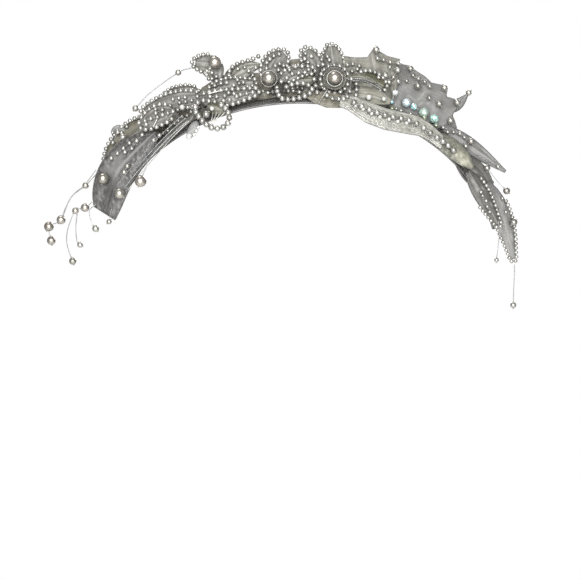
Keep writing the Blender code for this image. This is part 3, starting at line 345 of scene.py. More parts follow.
# Front-view place and diameter
FROSTED_BEADS = ((30.5, -5.2, 2.0), (34.8, -7.2, 2.0), (39.4, -9.6, 2.0), (44.0, -11.5, 2.0), (49.0, -12.7, 2.0),
                 (53.8, -14.0, 2.0), (58.7, -14.8, 2.0), (63.4, -15.5, 2.0), (-64.8, -6.2, 3.0), (-61.0, -22.2, 3.2),
                 (-58.2, -21.2, 2.0), (-57.0, -19.2, 2.0), (-55.9, -17.2, 1.9), (-48.4, -6.9, 2.4), (37.9, -0.7, 3.0),
                 (46.2, -1.6, 2.4))
# Name, place in metres, energy, size
LIGHTS = (
    ("key", (-0.05, -1.0, 0.06), 24.0, 1.2),
    ("top_fill", (-0.3, 0.1, 1.1), 5.0, 0.6),
    ("back_fill", (0.2, 1.0, 0.35), 11.0, 0.5),
)


# Places

def arch_edge(theta):
    return Vector((ARCH_HALF_WIDTH * math.sin(theta), ARCH_RISE * math.cos(theta) - ARCH_MIDDLE_DROP))


def arch_outward(theta):
    return Vector((math.sin(theta) / ARCH_HALF_WIDTH, math.cos(theta) / ARCH_RISE)).normalized()


def arch_angle(across, up):
    return math.atan2(across / ARCH_HALF_WIDTH, (up + ARCH_MIDDLE_DROP) / ARCH_RISE)


def arch_reach(across, up):
    size = math.hypot(across / ARCH_HALF_WIDTH, (up + ARCH_MIDDLE_DROP) / ARCH_RISE)
    return (size - 1) * ARCH_MEAN_RADIUS


def place(across, up, depth):
    """A front-view place and its depth, as a point in metres."""
    turn = math.atan2(across, up + ARCH_MIDDLE_DROP)
    y = depth + ARCH_SWEEP_BACK * (1 - math.cos(turn))
    grow = 1 + y / EYE_DISTANCE
    return Vector((EYE_ACROSS + (across - EYE_ACROSS) * grow, y, EYE_UP + (up - EYE_UP) * grow)) * MM


def leaning(across, up, depth):
    """Leaves lean back more, the further out they reach."""
    return Vector((across, up, depth + LEAF_LEAN * arch_reach(across, up)))


def on_band(theta, width_place, height):
    rise = (width_place + BAND_WIDTH / 2) * math.sin(BAND_TILT) + height * math.cos(BAND_TILT)
    front = arch_edge(theta) + arch_outward(theta) * rise
    return Vector((front.x, front.y, width_place * math.cos(BAND_TILT) - height * math.sin(BAND_TILT)))


def smooth_path(controls, count):
    """Evenly spaced points on a smooth curve through the control points."""
    controls = [Vector(c) for c in controls]
    fine = []
    last = len(controls) - 1
    for i in range(last):
        p0, p1 = controls[max(i - 1, 0)], controls[i]
        p2, p3 = controls[i + 1], controls[min(i + 2, last)]
        for k in range(12):
            t = k / 12
            fine.append(0.5 * (2 * p1 + (p2 - p0) * t + (2 * p0 - 5 * p1 + 4 * p2 - p3) * t * t
                               + (3 * p1 - p0 - 3 * p2 + p3) * t ** 3))
    fine.append(controls[last].copy())
    return evenly(fine, count)


def evenly(points, count):
    """Points at even steps along a polyline."""
    lengths = [0.0]
    for a, b in zip(points, points[1:]):
        lengths.append(lengths[-1] + (b - a).length)
    path = []
    k = 0
    for i in range(count):
        want = lengths[-1] * i / (count - 1)
        while k < len(points) - 2 and lengths[k + 1] < want:
            k += 1
        span = max(lengths[k + 1] - lengths[k], 1e-9)
        path.append(points[k].lerp(points[k + 1], min(1.0, (want - lengths[k]) / span)))
    return path


def path_length(points):
    return sum((b - a).length for a, b in zip(points, points[1:]))


def share_at(table, t):
    x = min(max(t, 0.0), 1.0) * (len(table) - 1)
    i = min(int(x), len(table) - 2)
    return table[i] + (table[i + 1] - table[i]) * (x - i)


def soft_share(table, t):
    """share_at without its corners."""
    return sum(share_at(table, t + d) for d in (-0.05, -0.025, 0.0, 0.025, 0.05)) / 5


def leaf_spine(leaf):
    base = Vector((*leaf.base, leaf.depth))
    mid = Vector((*leaf.mid, leaf.depth))
    tip = Vector((*leaf.tip, leaf.depth + leaf.curl))
    return smooth_path([base, mid, tip], 25)


def leaf_point(spine, leaf, t, side, extra=0.0):
    """A place on the leaf: t from base to tip, side from -1 to 1, extra mm past that edge."""
    x = min(max(t, 0.0), 1.0) * (len(spine) - 1)
    i = min(int(x), len(spine) - 2)
    centre = spine[i].lerp(spine[i + 1], x - i)
    ahead = spine[min(i + 2, len(spine) - 1)] - spine[max(i - 1, 0)]
    across = Vector((-ahead.y, ahead.x)).normalized()
    half = leaf.width / 2 * soft_share(LEAF_SHAPES[leaf.shape], t)
    reach = side * (half + extra)
    fade = math.sin(math.pi * (CUP_FADE + (1 - 2 * CUP_FADE) * t))
    depth = centre.z - leaf.cup * (1 - side * side) * fade
    return leaning(centre.x + across.x * reach, centre.y + across.y * reach, depth)


def stem_root(base, depth):
    theta = arch_angle(base.x, base.y)
    if depth < FRONT_LANE:
        edge = arch_edge(theta)
        out = arch_outward(theta)
        low = edge + out * FRONT_ROOT_LOW
        high = edge + out * FRONT_ROOT_HIGH
        return Vector((low.x, low.y, FRONT_ROOT_DEPTH)), Vector((high.x, high.y, FRONT_ROOT_DEPTH))
    width_place = min(max(base.z / math.cos(BAND_TILT), ROOT_FRONT_LIMIT), ROOT_BACK_LIMIT)
    root = on_band(theta, width_place, BAND_WALL + ROOT_GAP)
    above = on_band(theta, width_place, BAND_WALL + ROOT_GAP + STEM_RISE)
    return root, above


def ruled_places(low, high, depth, belly, rows, columns):
    """Front-view places between a lower and an upper edge, with a belly to the front."""
    lows = evenly([Vector(p) for p in low], rows)
    highs = evenly([Vector(p) for p in high], rows)
    grid = []
    for a, b in zip(lows, highs):
        row = []
        for j in range(columns):
            share = j / (columns - 1)
            spot = a.lerp(b, share)
            row.append(leaning(spot.x, spot.y, depth - belly * (1 - (2 * share - 1) ** 2)))
        grid.append(row)
    return grid


def leaned(spot):
    """The place in metres of a front-view place on something that leans back."""
    return place(*leaning(*spot))


def leaned_curve(spots, count):
    return smooth_path([leaned(spot) for spot in spots], count)


def band_place(theta, width_place, height):
    return place(*on_band(theta, width_place, height))


def between(start, end, k, count=1):
    """The place k of count steps from start to end."""
    return start + (end - start) * k / count


def turns(count):
    """Even turns round a circle."""
    return [math.tau * k / count for k in range(count)]


def clamped(x):
    return min(1.0, max(0.0, x))


def heading(points, i, closed=False):
    """From the point before place i to the one after it; an open line's ends are their own neighbours."""
    before = points[i - 1] if i or closed else points[0]
    after = points[(i + 1) % len(points)] if i + 1 < len(points) or closed else points[-1]
    return after - before


# Materials

class Look:
    """A Principled material whose nodes are added one call at a time."""

    def __init__(self, name):
        self.material = bpy.data.materials.new(name)
        self.material.use_nodes = True
        self.tree = self.material.node_tree
        self.shader = self.tree.nodes["Principled BSDF"]

    def feed(self, socket, value):
        """Links another node's output to a socket, or sets the socket's own value."""
        if isinstance(value, bpy.types.NodeSocket):
            self.tree.links.new(value, socket)
        else:
            socket.default_value = value

    def node(self, kind, inputs=None, **settings):
        made = self.tree.nodes.new(kind)
        for key, value in settings.items():
            setattr(made, key, value)
        for key, value in (inputs or {}).items():
            self.feed(made.inputs[key], value)
        return made

    def where(self):
        return self.node("ShaderNodeTexCoord").outputs["Object"]

    def geometry(self, output):
        return self.node("ShaderNodeNewGeometry").outputs[output]

    def mark(self, name):
        """A number that the mesh carries at each point."""
        return self.node("ShaderNodeAttribute", attribute_name=name).outputs["Fac"]

    def cloud(self, vector, scale, detail, **more):
        return self.node("ShaderNodeTexNoise", {"Vector": vector, "Scale": scale, "Detail": detail, **more}).outputs[0]

    def math(self, operation, a, b):
        return self.node("ShaderNodeMath", {0: a, 1: b}, operation=operation).outputs[0]

    def vector(self, operation, a, b):
        return self.node("ShaderNodeVectorMath", {0: a, 1: b}, operation=operation).outputs[0]

    def ramp(self, value, *stops):
        """A colour or grey ramp: stops are (position, (r, g, b)) or (position, grey)."""
        made = self.node("ShaderNodeValToRGB", {0: value})
        elements = made.color_ramp.elements
        while len(elements) < len(stops):
            elements.new(0.5)
        for element, (position, colour) in zip(elements, stops):
            element.position = position
            element.color = (*colour, 1) if hasattr(colour, "__len__") else (colour, colour, colour, 1)
        return made.outputs[0]

    def mix(self, share, a, b, blend="MIX"):
        return self.node("ShaderNodeMix", {0: share, 6: a, 7: b}, data_type="RGBA", blend_type=blend).outputs[2]

    def bump(self, height, strength, distance, below=None):
        inputs = {"Height": height, "Strength": strength, "Distance": distance}
        if below:
            inputs["Normal"] = below
        return self.node("ShaderNodeBump", inputs).outputs[0]

    def set(self, **values):
        """Sets the shader's sockets, named with _ for a space."""
        for key, value in values.items():
            self.feed(self.shader.inputs[key.replace("_", " ")], value)
        return self.material


def cloth_look(name, dark, light, alpha, thread=0.55, streaks=0.12, roughness=0.42, paleness_and_highlight_colour=(0.62, 0.62, 0.6),
               holes=0.2):
    """Sheer woven cloth: crossed threads, satin streaks along its length, pale ribs with painted highlights, painted
    shade and a little sheen.
    """
    look = Look(name)
    cloth = look.node("ShaderNodeUVMap", uv_map="cloth").outputs[0]
    bands = []
    for direction in ("X", "Y"):
        wave = look.node("ShaderNodeTexWave", {"Vector": cloth, "Scale": 0.314 / thread, "Distortion": 0.6,
                                               "Detail": 1.0, "Detail Scale": 0.8}, bands_direction=direction)
        bands.append(wave.outputs["Fac"])
    weave = look.math("MAXIMUM", *bands)
    stretched = look.node("ShaderNodeMapping", {"Vector": cloth, "Scale": (1.1, streaks, 1.0)}).outputs[0]
    streak = look.cloud(stretched, 0.9, 4.0, Roughness=0.6)
    patches = look.cloud(cloth, 0.16, 3.0)
    tone = look.math("ADD", look.math("MULTIPLY", streak, 0.65), look.math("MULTIPLY", patches, 0.35))
    colour = look.ramp(tone, (0.36, dark), (0.62, light))
    colour = look.mix(look.math("MULTIPLY", weave, 0.35), colour, (*light, 1))
    # paleness of ribs, veins and hems, and painted highlights on the cream leaf and on the crests of the ruche
    vein = look.mark("vein")
    colour = look.mix(vein, colour, (*paleness_and_highlight_colour, 1))
    # painted shade: the mark "shade" darkens the cloth in folds, creases, gathers and on the stems
    colour = look.mix(look.math("MULTIPLY", look.mark("shade"), 0.72), colour, (*(c * 0.25 for c in dark), 1))
    # painted shade in crevices, between beads and close layers, from ambient occlusion
    occlusion_shade = look.node("ShaderNodeAmbientOcclusion", {"Distance": 0.0035}, samples=6).outputs["AO"]
    colour = look.mix(1.0, colour, look.ramp(occlusion_shade, (0.15, 0.22), (0.85, 1.0)), "MULTIPLY")
    opening = look.math("MULTIPLY", look.math("SUBTRACT", 1.0, weave), holes)
    sheer = look.math("ADD", look.math("SUBTRACT", alpha, opening), look.math("MULTIPLY", vein, 0.25))
    rough = look.ramp(streak, (0.3, roughness + 0.1), (0.7, roughness - 0.1))
    normal = look.bump(streak, 0.25, 0.0003, look.bump(weave, 0.35, 0.00008))
    return look.set(Base_Color=colour, Roughness=rough, Alpha=look.math("MINIMUM", sheer, 1.0), Normal=normal,
                    Sheen_Weight=0.25, Sheen_Roughness=0.4, Sheen_Tint=(0.9, 0.9, 0.88, 1))


def pearl_look(name, dark, light, roughness, grain, metal):
    """Pearl lustre: each bead its own tone, faint clouds of pink and green, and fine growth lines."""
    look = Look(name)
    where = look.where()
    base = look.ramp(look.geometry("Random Per Island"), (0.0, dark), (0.55, light),
                     (1.0, tuple(c * 1.1 for c in light)))
    orient = look.ramp(look.cloud(where, grain, 2.0), (0.3, (0.62, 0.56, 0.55)), (0.5, (0.6, 0.6, 0.58)),
                       (0.7, (0.55, 0.61, 0.58)))
    line = look.cloud(where, grain * 6, 3.0)
    rough = look.ramp(line, (0.3, roughness - 0.05), (0.7, roughness + 0.07))
    return look.set(Base_Color=look.mix(0.35, base, orient, "OVERLAY"), Roughness=rough,
                    Normal=look.bump(line, 0.06, 0.00004), Coat_Weight=0.3, Coat_Roughness=0.08, Metallic=metal,
                    Specular_Tint=(0.3, 0.3, 0.29, 1), Specular_IOR_Level=0.5)


def clear_look(name, tint, alpha, roughness, film):
    """Clear moulded plastic or frosted glass with an iridescent film that drifts between four tints."""
    look = Look(name)
    where = look.where()
    hue = look.cloud(look.vector("ADD", where, look.geometry("Normal")), 1.7, 1.0)
    colour = look.ramp(hue, *zip((0.34, 0.48, 0.6, 0.72), tint))
    return look.set(Base_Color=colour, Roughness=roughness, Alpha=alpha, Coat_Weight=1.0, Coat_Roughness=0.03,
                    Thin_Film_Thickness=film, Thin_Film_IOR=1.5,
                    Normal=look.bump(look.cloud(where, 900.0, 2.0), 0.05, 0.00003))


def crystal_look():
    """Cut glass whose facets flash in the colours of its film; the mark "hue" gives each crystal its own."""
    look = Look("crystal_cut")
    scaled = look.vector("MULTIPLY", look.where(), (160.0, 160.0, 160.0))
    flash = look.cloud(look.vector("ADD", scaled, look.geometry("Normal")), 2.3, 1.0)
    turned = look.math("ADD", look.mark("hue"), look.math("MULTIPLY", look.math("SUBTRACT", flash, 0.5), 0.9))
    colour = look.ramp(turned, (0.0, (0.90, 0.92, 0.90)), (0.2, (0.72, 0.86, 0.92)), (0.36, (0.26, 0.70, 0.88)),
                       (0.5, (0.80, 0.90, 0.90)), (0.62, (0.34, 0.80, 0.74)), (0.76, (0.72, 0.90, 0.80)),
                       (0.95, (0.24, 0.26, 0.17)))
    # painted flashes of light: each facet is made lighter or darker by a noise of its place and facing
    colour = look.mix(1.0, colour, look.ramp(flash, (0.4, 0.7), (0.58, 1.3)), "MULTIPLY")
    return look.set(Base_Color=colour, Roughness=0.08, Alpha=0.97, Coat_Weight=1.0, Coat_Roughness=0.03, Metallic=0.45,
                    Thin_Film_Thickness=460.0, Thin_Film_IOR=1.5, Normal=look.bump(flash, 0.05, 0.00003))


def filament_look():
    look = Look("clear_filament")
    cloud = look.cloud(look.where(), 220.0, 2.0)
    colour = look.ramp(cloud, (0.35, (0.19, 0.195, 0.20)), (0.65, (0.36, 0.37, 0.37)))
    return look.set(Base_Color=colour, Roughness=0.14, Alpha=0.85, Coat_Weight=0.5, Specular_IOR_Level=0.8,
                    Normal=look.bump(cloud, 0.1, 0.00003))


def wire_look(name, dark, light):
    """Wound wire, net strand or cord: its winding is in the mesh, this gives its fine grain and tarnish."""
    look = Look(name)
    where = look.where()
    grain = look.cloud(where, 1500.0, 3.0)
    tarnish = look.cloud(where, 60.0, 3.0)
    colour = look.ramp(look.math("ADD", look.math("MULTIPLY", grain, 0.4), look.math("MULTIPLY", tarnish, 0.6)),
                       (0.38, dark), (0.6, light))
    return look.set(Base_Color=colour, Roughness=look.ramp(grain, (0.3, 0.28), (0.7, 0.46)), Metallic=0.55,
                    Normal=look.bump(grain, 0.2, 0.00005))


def floor_look():
    look = Look("pale_floor")
    colour = look.ramp(look.cloud(look.where(), 4.0, 4.0), (0.3, (0.86, 0.86, 0.86)), (0.7, (0.9, 0.9, 0.9)))
    return look.set(Base_Color=colour, Roughness=0.7)


LOOKS = {
    "organza": cloth_look("organza_cloth", (0.058, 0.056, 0.048), (0.25, 0.243, 0.216), 0.93),
    "tan": cloth_look("organza_tan", (0.060, 0.055, 0.039), (0.215, 0.20, 0.155), 0.94),
    "pale_tan": cloth_look("organza_pale_tan", (0.10, 0.096, 0.074), (0.28, 0.272, 0.218), 0.93),
    "olive": cloth_look("organza_olive", (0.04, 0.038, 0.021), (0.12, 0.116, 0.072), 0.95),
    "sheer": cloth_look("organza_sheer", (0.176, 0.176, 0.172), (0.416, 0.416, 0.408), 0.66),
    "dusk": cloth_look("organza_dusk", (0.04, 0.038, 0.032), (0.144, 0.142, 0.128), 0.94),
    "veined": cloth_look("organza_veined", (0.021, 0.0197, 0.0188), (0.092, 0.089, 0.085), 0.97, streaks=0.3,
                         paleness_and_highlight_colour=(0.40, 0.393, 0.38)),
    "grey": cloth_look("organza_grey", (0.126, 0.125, 0.12), (0.265, 0.262, 0.252), 0.93, thread=0.5),
    "horn": cloth_look("organza_horn", (0.088, 0.085, 0.068), (0.285, 0.277, 0.235), 0.93),
    # the cream cloth's pale colour is also the colour of its painted highlights
    "cream": cloth_look("organza_cream", (0.08, 0.08, 0.064), (0.224, 0.22, 0.176), 0.95, roughness=0.34,
                        paleness_and_highlight_colour=(0.42, 0.407, 0.325)),
    "lace": cloth_look("lace_cloth", (0.11, 0.108, 0.092), (0.47, 0.463, 0.41), 0.96, thread=0.8, roughness=0.6,
                       paleness_and_highlight_colour=(0.48, 0.48, 0.448), holes=0.3),
    "net": cloth_look("net_cloth", (0.024, 0.023, 0.021), (0.064, 0.062, 0.058), 0.97, thread=1.1, holes=0.14,
                      paleness_and_highlight_colour=(0.096, 0.094, 0.09)),
    "seed_pearl": pearl_look("seed_pearl", (0.30, 0.295, 0.275), (0.42, 0.413, 0.39), 0.3, 240.0, 0.7),
    "pearl": pearl_look("large_pearl", (0.27, 0.25, 0.22), (0.39, 0.365, 0.33), 0.26, 110.0, 0.74),
    "small_pearl": pearl_look("small_pearl", (0.29, 0.28, 0.255), (0.40, 0.39, 0.36), 0.28, 180.0, 0.72),
    "filament": filament_look(),
    "wire": wire_look("wound_wire", (0.06, 0.0585, 0.057), (0.19, 0.187, 0.182)),
    "crimp": wire_look("crimp_metal", (0.20, 0.195, 0.18), (0.46, 0.455, 0.43)),
    "cup": clear_look("sequin_clear", ((0.16, 0.15, 0.12), (0.22, 0.21, 0.18), (0.19, 0.20, 0.18),
                                       (0.25, 0.22, 0.20)), 0.42, 0.14, 380.0),
    "crystal": crystal_look(),
    "floor": floor_look(),
    "net_strand": wire_look("net_strand", (0.05, 0.048, 0.044), (0.15, 0.147, 0.135)),
    "frosted": clear_look("frosted_glass", ((0.46, 0.46, 0.43), (0.56, 0.56, 0.53), (0.66, 0.66, 0.63),
                                            (0.5, 0.52, 0.5)), 0.9, 0.4, 0.0),
    "thread": wire_look("sewing_thread", (0.22, 0.215, 0.20), (0.42, 0.41, 0.385)),
    "lace_cord": wire_look("lace_cord", (0.30, 0.30, 0.275), (0.62, 0.62, 0.58)),
}


# Meshes

def mesh_object(name, verts, faces, look, smooth=True, uvs=None, marks=None):
    """A closed mesh as an object; verts is an n by 3 array in metres, uvs are mm on the flat cloth."""
    mesh = bpy.data.meshes.new(name)
    mesh.from_pydata(np.asarray(verts).tolist(), [], [tuple(f) for f in faces])
    if uvs is not None:
        layer = mesh.uv_layers.new(name="cloth")
        corners = np.empty(len(mesh.loops), dtype=np.int64)
        mesh.loops.foreach_get("vertex_index", corners)
        layer.data.foreach_set("uv", np.asarray(uvs)[corners].ravel())
    for key, values in (marks or {}).items():
        mesh.attributes.new(key, "FLOAT", "POINT").data.foreach_set("value", values)
    bm = bmesh.new()
    bm.from_mesh(mesh)
    bmesh.ops.recalc_face_normals(bm, faces=bm.faces)
    bm.to_mesh(mesh)
    bm.free()
    if smooth:
        mesh.shade_smooth()
    mesh.materials.append(LOOKS[look])
    piece = bpy.data.objects.new(name, mesh)
    bpy.context.scene.collection.objects.link(piece)
    return piece


def finish_piece(piece, slot, nodes=()):
    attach(piece, "root")
    if nodes:
        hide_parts(*nodes)


class Soup:
    """Many closed shells gathered into one mesh."""

    def __init__(self):
        self.verts = []
        self.faces = []
        self.count = 0

    def add(self, verts, faces):
        self.verts.append(np.asarray(verts, dtype=float))
        self.faces += [tuple(i + self.count for i in f) for f in faces]
        self.count += len(verts)

    def tube(self, path, radii, sides, closed=False):
        """A round tube along points in metres; radii in mm is one number, or one for each point."""
        count = len(path)
        if not hasattr(radii, "__len__"):
            radii = [radii] * count
        normal = None
        verts = []
        for i, point in enumerate(path):
            tangent = heading(path, i, closed).normalized()
            if normal is None:
                normal = tangent.orthogonal()
            normal = (normal - tangent * normal.dot(tangent)).normalized()
            binormal = tangent.cross(normal)
            for turn in turns(sides):
                verts.append(point + (normal * math.cos(turn) + binormal * math.sin(turn)) * radii[i] * MM)
        faces = []
        for i in range(count if closed else count - 1):
            faces += ring_faces(i * sides, (i + 1) % count * sides, sides)
        if not closed:
            faces.append(tuple(range(sides)))
            faces.append(tuple((count - 1) * sides + k for k in range(sides)))
        self.add(np.array([tuple(v) for v in verts]), faces)

    def finish(self, name, look, slot, nodes=(), smooth=True, marks=None):
        """Makes the gathered shells one piece of the visual model."""
        piece = mesh_object(name, np.concatenate(self.verts), self.faces, look, smooth, marks=marks)
        finish_piece(piece, slot, nodes)


def ring_faces(a, b, sides):
    """The faces between two rings of points that start at a and b."""
    faces = []
    for k in range(sides):
        m = (k + 1) % sides
        faces.append((a + k, a + m, b + m, b + k))
    return faces


def sheet_normals(points):
    normals = np.cross(np.gradient(points, axis=0), np.gradient(points, axis=1))
    return normals / np.maximum(np.linalg.norm(normals, axis=2, keepdims=True), 1e-12)


def sampled(rows, columns, at):
    """The points, paleness and shade of a cloth grid; at(i, j) gives all three for one place."""
    cells = [[at(i, j) for j in range(columns)] for i in range(rows)]
    points = np.array([[tuple(cell[0]) for cell in row] for row in cells])
    return points, *(np.array([[cell[k] for cell in row] for row in cells]) for k in (1, 2))


def cloth_shell(points, wall):
    """Front, back and rim of a thin sheet from a rows by columns grid of points."""
    rows, columns = points.shape[:2]
    normals = sheet_normals(points)
    front = (points + normals * wall / 2).reshape(-1, 3)
    back = (points - normals * wall / 2).reshape(-1, 3)
    offset = rows * columns
    faces = []
    for i in range(rows - 1):
        for j in range(columns - 1):
            a = i * columns + j
            faces.append((a, a + 1, a + columns + 1, a + columns))
            faces.append((a + offset, a + columns + offset, a + columns + 1 + offset, a + 1 + offset))
    rim = list(range(columns))
    rim += [i * columns + columns - 1 for i in range(1, rows)]
    rim += [(rows - 1) * columns + j for j in range(columns - 2, -1, -1)]
    rim += [i * columns for i in range(rows - 2, 0, -1)]
    for a, b in zip(rim, rim[1:] + rim[:1]):
        faces.append((a, a + offset, b + offset, b))
    return np.concatenate((front, back)), faces


def flat_uvs(points):
    """Each point's place on the flat cloth, in mm: across from the middle line, along from the base."""
    steps = np.linalg.norm(np.diff(points, axis=1), axis=2)
    across = np.concatenate((np.zeros((len(points), 1)), np.cumsum(steps, axis=1)), axis=1)
    across -= across[:, -1:] / 2
    rises = np.linalg.norm(np.diff(points, axis=0), axis=2).mean(axis=1)
    along = np.concatenate(([0.0], np.cumsum(rises)))[:, None] + np.zeros_like(across)
    uvs = np.stack((across, along), axis=2).reshape(-1, 2) / MM
    return np.concatenate((uvs, uvs))


def bead_template(segments, rings, hole):
    """A drilled round bead of radius 1, its hole along Z, as (points, faces)."""
    start = math.asin(hole)
    profile = [(hole * HOLE_END, math.cos(start) * HOLE_END)]
    for k in range(rings):
        turn = start + (math.pi - 2 * start) * k / (rings - 1)
        profile.append((math.sin(turn), math.cos(turn)))
    profile.append((hole * HOLE_END, -math.cos(start) * HOLE_END))
    points = [(0, 0, profile[0][1])]
    faces = []
    for radius, height in profile:
        points += [(radius * math.cos(turn), radius * math.sin(turn), height) for turn in turns(segments)]
    points.append((0, 0, profile[-1][1]))
    for k in range(segments):
        m = (k + 1) % segments
        faces.append((0, 1 + k, 1 + m))
        for r in range(len(profile) - 1):
            a = 1 + r * segments
            faces.append((a + k, a + segments + k, a + segments + m, a + m))
        a = 1 + (len(profile) - 1) * segments
        faces.append((a + k, len(points) - 1, a + m))
    return np.array(points), faces


SEED = bead_template(14, 9, 0.16)
PEARL = bead_template(28, 18, 0.07)
RANDOM = random.Random(11)


def add_bead(soup, centre, axis, diameter, template=SEED, uneven=0.03):
    """One bead with its hole along axis; pearls are a little uneven."""
    turned = Vector(axis).to_track_quat("Z", "Y").to_matrix() @ Matrix.Rotation(RANDOM.uniform(0, math.tau), 3, "Z")
    size = diameter / 2 * MM * (1 + RANDOM.uniform(-uneven, uneven))
    stretch = np.array((1 + RANDOM.uniform(-uneven, uneven), 1.0, 1 + RANDOM.uniform(-uneven, uneven)))
    points = (template[0] * stretch * size) @ np.array(turned).T + np.array(centre)
    soup.add(points, template[1])


# Cloth

CLOTH_SHELLS = []
CLOTH_GRIDS = {}


def declare_sheet(points):
    """Measures the flat size of a cloth piece across and along its own surface; the sizes are not used."""
    across = np.linalg.norm(np.diff(points, axis=1), axis=2).sum(axis=1).max()
    along = np.linalg.norm(np.diff(points, axis=0), axis=2).sum(axis=0).max()


def cloth_piece(name, points, look, nodes=(), vein=None, shade=None, wall=CLOTH_WALL):
    verts, faces = cloth_shell(points, wall)
    marks = {key: np.tile(value.ravel(), 2) for key, value in (("vein", vein), ("shade", shade)) if value is not None}
    piece = mesh_object(name, verts, faces, look, uvs=flat_uvs(points), marks=marks)
    CLOTH_SHELLS.append((verts, faces))
    finish_piece(piece, CLOTH_SLOTS.get(look, "organza"), nodes)
    declare_sheet(points)


def bell(x, width):
    return math.exp(-(x / width) ** 2)


def stripe(x, width):
    """1 where x is halfway between two whole numbers, falling off within width."""
    return bell(x % 1.0 - 0.5, width)


def noise_at(x, y, z):
    return noise.noise(Vector((x, y, z)))


def ribs(t, side, look, seed):
    """(height in mm, paleness) of the folds and ribs at a place on a leaf; on the cream leaf the paleness is mostly a
    painted highlight.
    """
    wander = noise_at(side * 1.6, t * 3.0, seed)
    fine = noise_at(side * 5.0, t * 9.0, seed + 7)
    middle = bell(side, 0.07)
    if look == "veined":
        line = stripe(t * 11 - 2.6 * abs(side) + 0.7 * wander, 0.1) * min(1.0, 2.2 * abs(side) + 0.15)
        cross = stripe(side * 6 + 0.8 * wander, 0.12) * 0.45
        pale = max(0.8 * middle, 0.8 * line, cross)
        return 0.30 * wander + 0.16 * pale + 0.12 * fine, pale * 0.55
    if look == "cream":
        crumple = abs(noise_at(side * 2.6 + t * 3, t * 8.0, seed + 3))
        crumple += 0.5 * abs(noise_at(side * 5 - t * 4, t * 15, seed))
        # a painted highlight on the crests of the crumples, and a faint pale middle rib
        return 1.7 * (0.35 - crumple) + 0.10 * middle, 0.25 * middle + 0.5 * max(0.0, 0.12 - crumple) / 0.12
    pleat = math.sin(math.pi * 3.2 * side + seed + 2.0 * wander)
    line = stripe(side * 2.5 + 0.5 * wander + 0.1 * seed, 0.07)
    pale = max(0.5 * middle, 0.55 * line)
    return 0.22 * pleat + 0.24 * wander + 0.10 * fine + 0.10 * pale, pale * 0.5


def leaf_cloth(leaf, has_node):
    """A leaf with gathered stem, folds and ribs."""
    spine = leaf_spine(leaf)
    base = leaf_point(spine, leaf, 0, 0)
    root, above = stem_root(base, leaf.depth)
    if leaf.depth < FRONT_LANE:
        root = root.lerp(above, HIDDEN_ROOT)
    stem = smooth_path([root, above, base], STEM_ROWS + 1)[:-1] if has_node else []
    columns = 9 if leaf.width < NARROW_LEAF else 15
    rows = 24 if path_length(spine) < SHORT_LEAF else 44
    seed = len(CLOTH_GRIDS) * SEED_STEP
    half_root = STEM_WIDTH * 0.33
    half_base = leaf.width / 2 * soft_share(LEAF_SHAPES[leaf.shape], 0) + leaf.grow * 0.3
    tip_heading = spine[-1] - spine[-3]
    tip_heading = Vector((tip_heading.x, tip_heading.y, 0)).normalized()

    def on_stem(i, s):
        point = stem[i]
        ahead = (stem[i + 1] if i + 1 < len(stem) else base) - point
        across = Vector((-ahead.y, ahead.x)).normalized()
        share = i / len(stem)
        half = half_root + (half_base - half_root) * share ** 4
        fold = 0.35 * math.sin(s * 9.0) * (1 - 0.5 * share)
        # the stems get full painted shade
        return place(point.x + across.x * half * s, point.y + across.y * half * s, point.z + fold), 0.0, 1.0

    def on_blade(t, s):
        height, light = ribs(t, s, leaf.look, seed)
        # painted shade near the stem root and along the edges, and in the hollows of the folds
        gather = 0.55 * math.exp(-t / 0.12) + 0.25 * max(0.0, abs(s) - 0.75) / 0.25
        folds = max(0.0, -1.6 * height)
        if leaf.skew > 1.5:
            # painted shade of a crease runs out at the notched tip of the large leaf, and its ribs fade there
            light *= 1 - clamped((t - 0.55) / 0.15) * bell(s, 0.3)
            gather += bell(s - 0.1 - 0.5 * (t - 0.75), 0.07) * clamped((t - 0.62) / 0.12)
        # painted highlight: a glint near the tip of the cream leaf, carried in the paleness mark
        if leaf.look == "cream":
            glint = 0.75 + 1.1 * noise_at(s * 2.4, t * 9.0, 5.0)
            glint *= math.exp(-((t - 0.78) / 0.17) ** 2 - ((s + 0.1) / 0.6) ** 2)
            light = clamped(max(light * 0.5, glint))
            folds = 0.0
        longer = max(0.0, (t - 0.7) / 0.3) ** 1.5 * leaf.skew * s
        spot = leaf_point(spine, leaf, t, s, leaf.grow * min(1.0, 0.3 + 6 * t)) + tip_heading * longer
        fade = min(1.0, 4 * t, 5 * (1 - t) + 0.25)
        return place(spot.x, spot.y, spot.z - height * fade), light, min(1.0, gather + folds)

    def at(i, j):
        s = 2 * j / (columns - 1) - 1
        return on_stem(i, s) if i < len(stem) else on_blade((i - len(stem)) / (rows - 1), s)

    points, vein, shade = sampled(len(stem) + rows, columns, at)
    cloth_piece(leaf.name + "_cloth", points, leaf.look, (leaf.name,) if has_node else (), vein, shade)
    CLOTH_GRIDS[leaf.name] = points


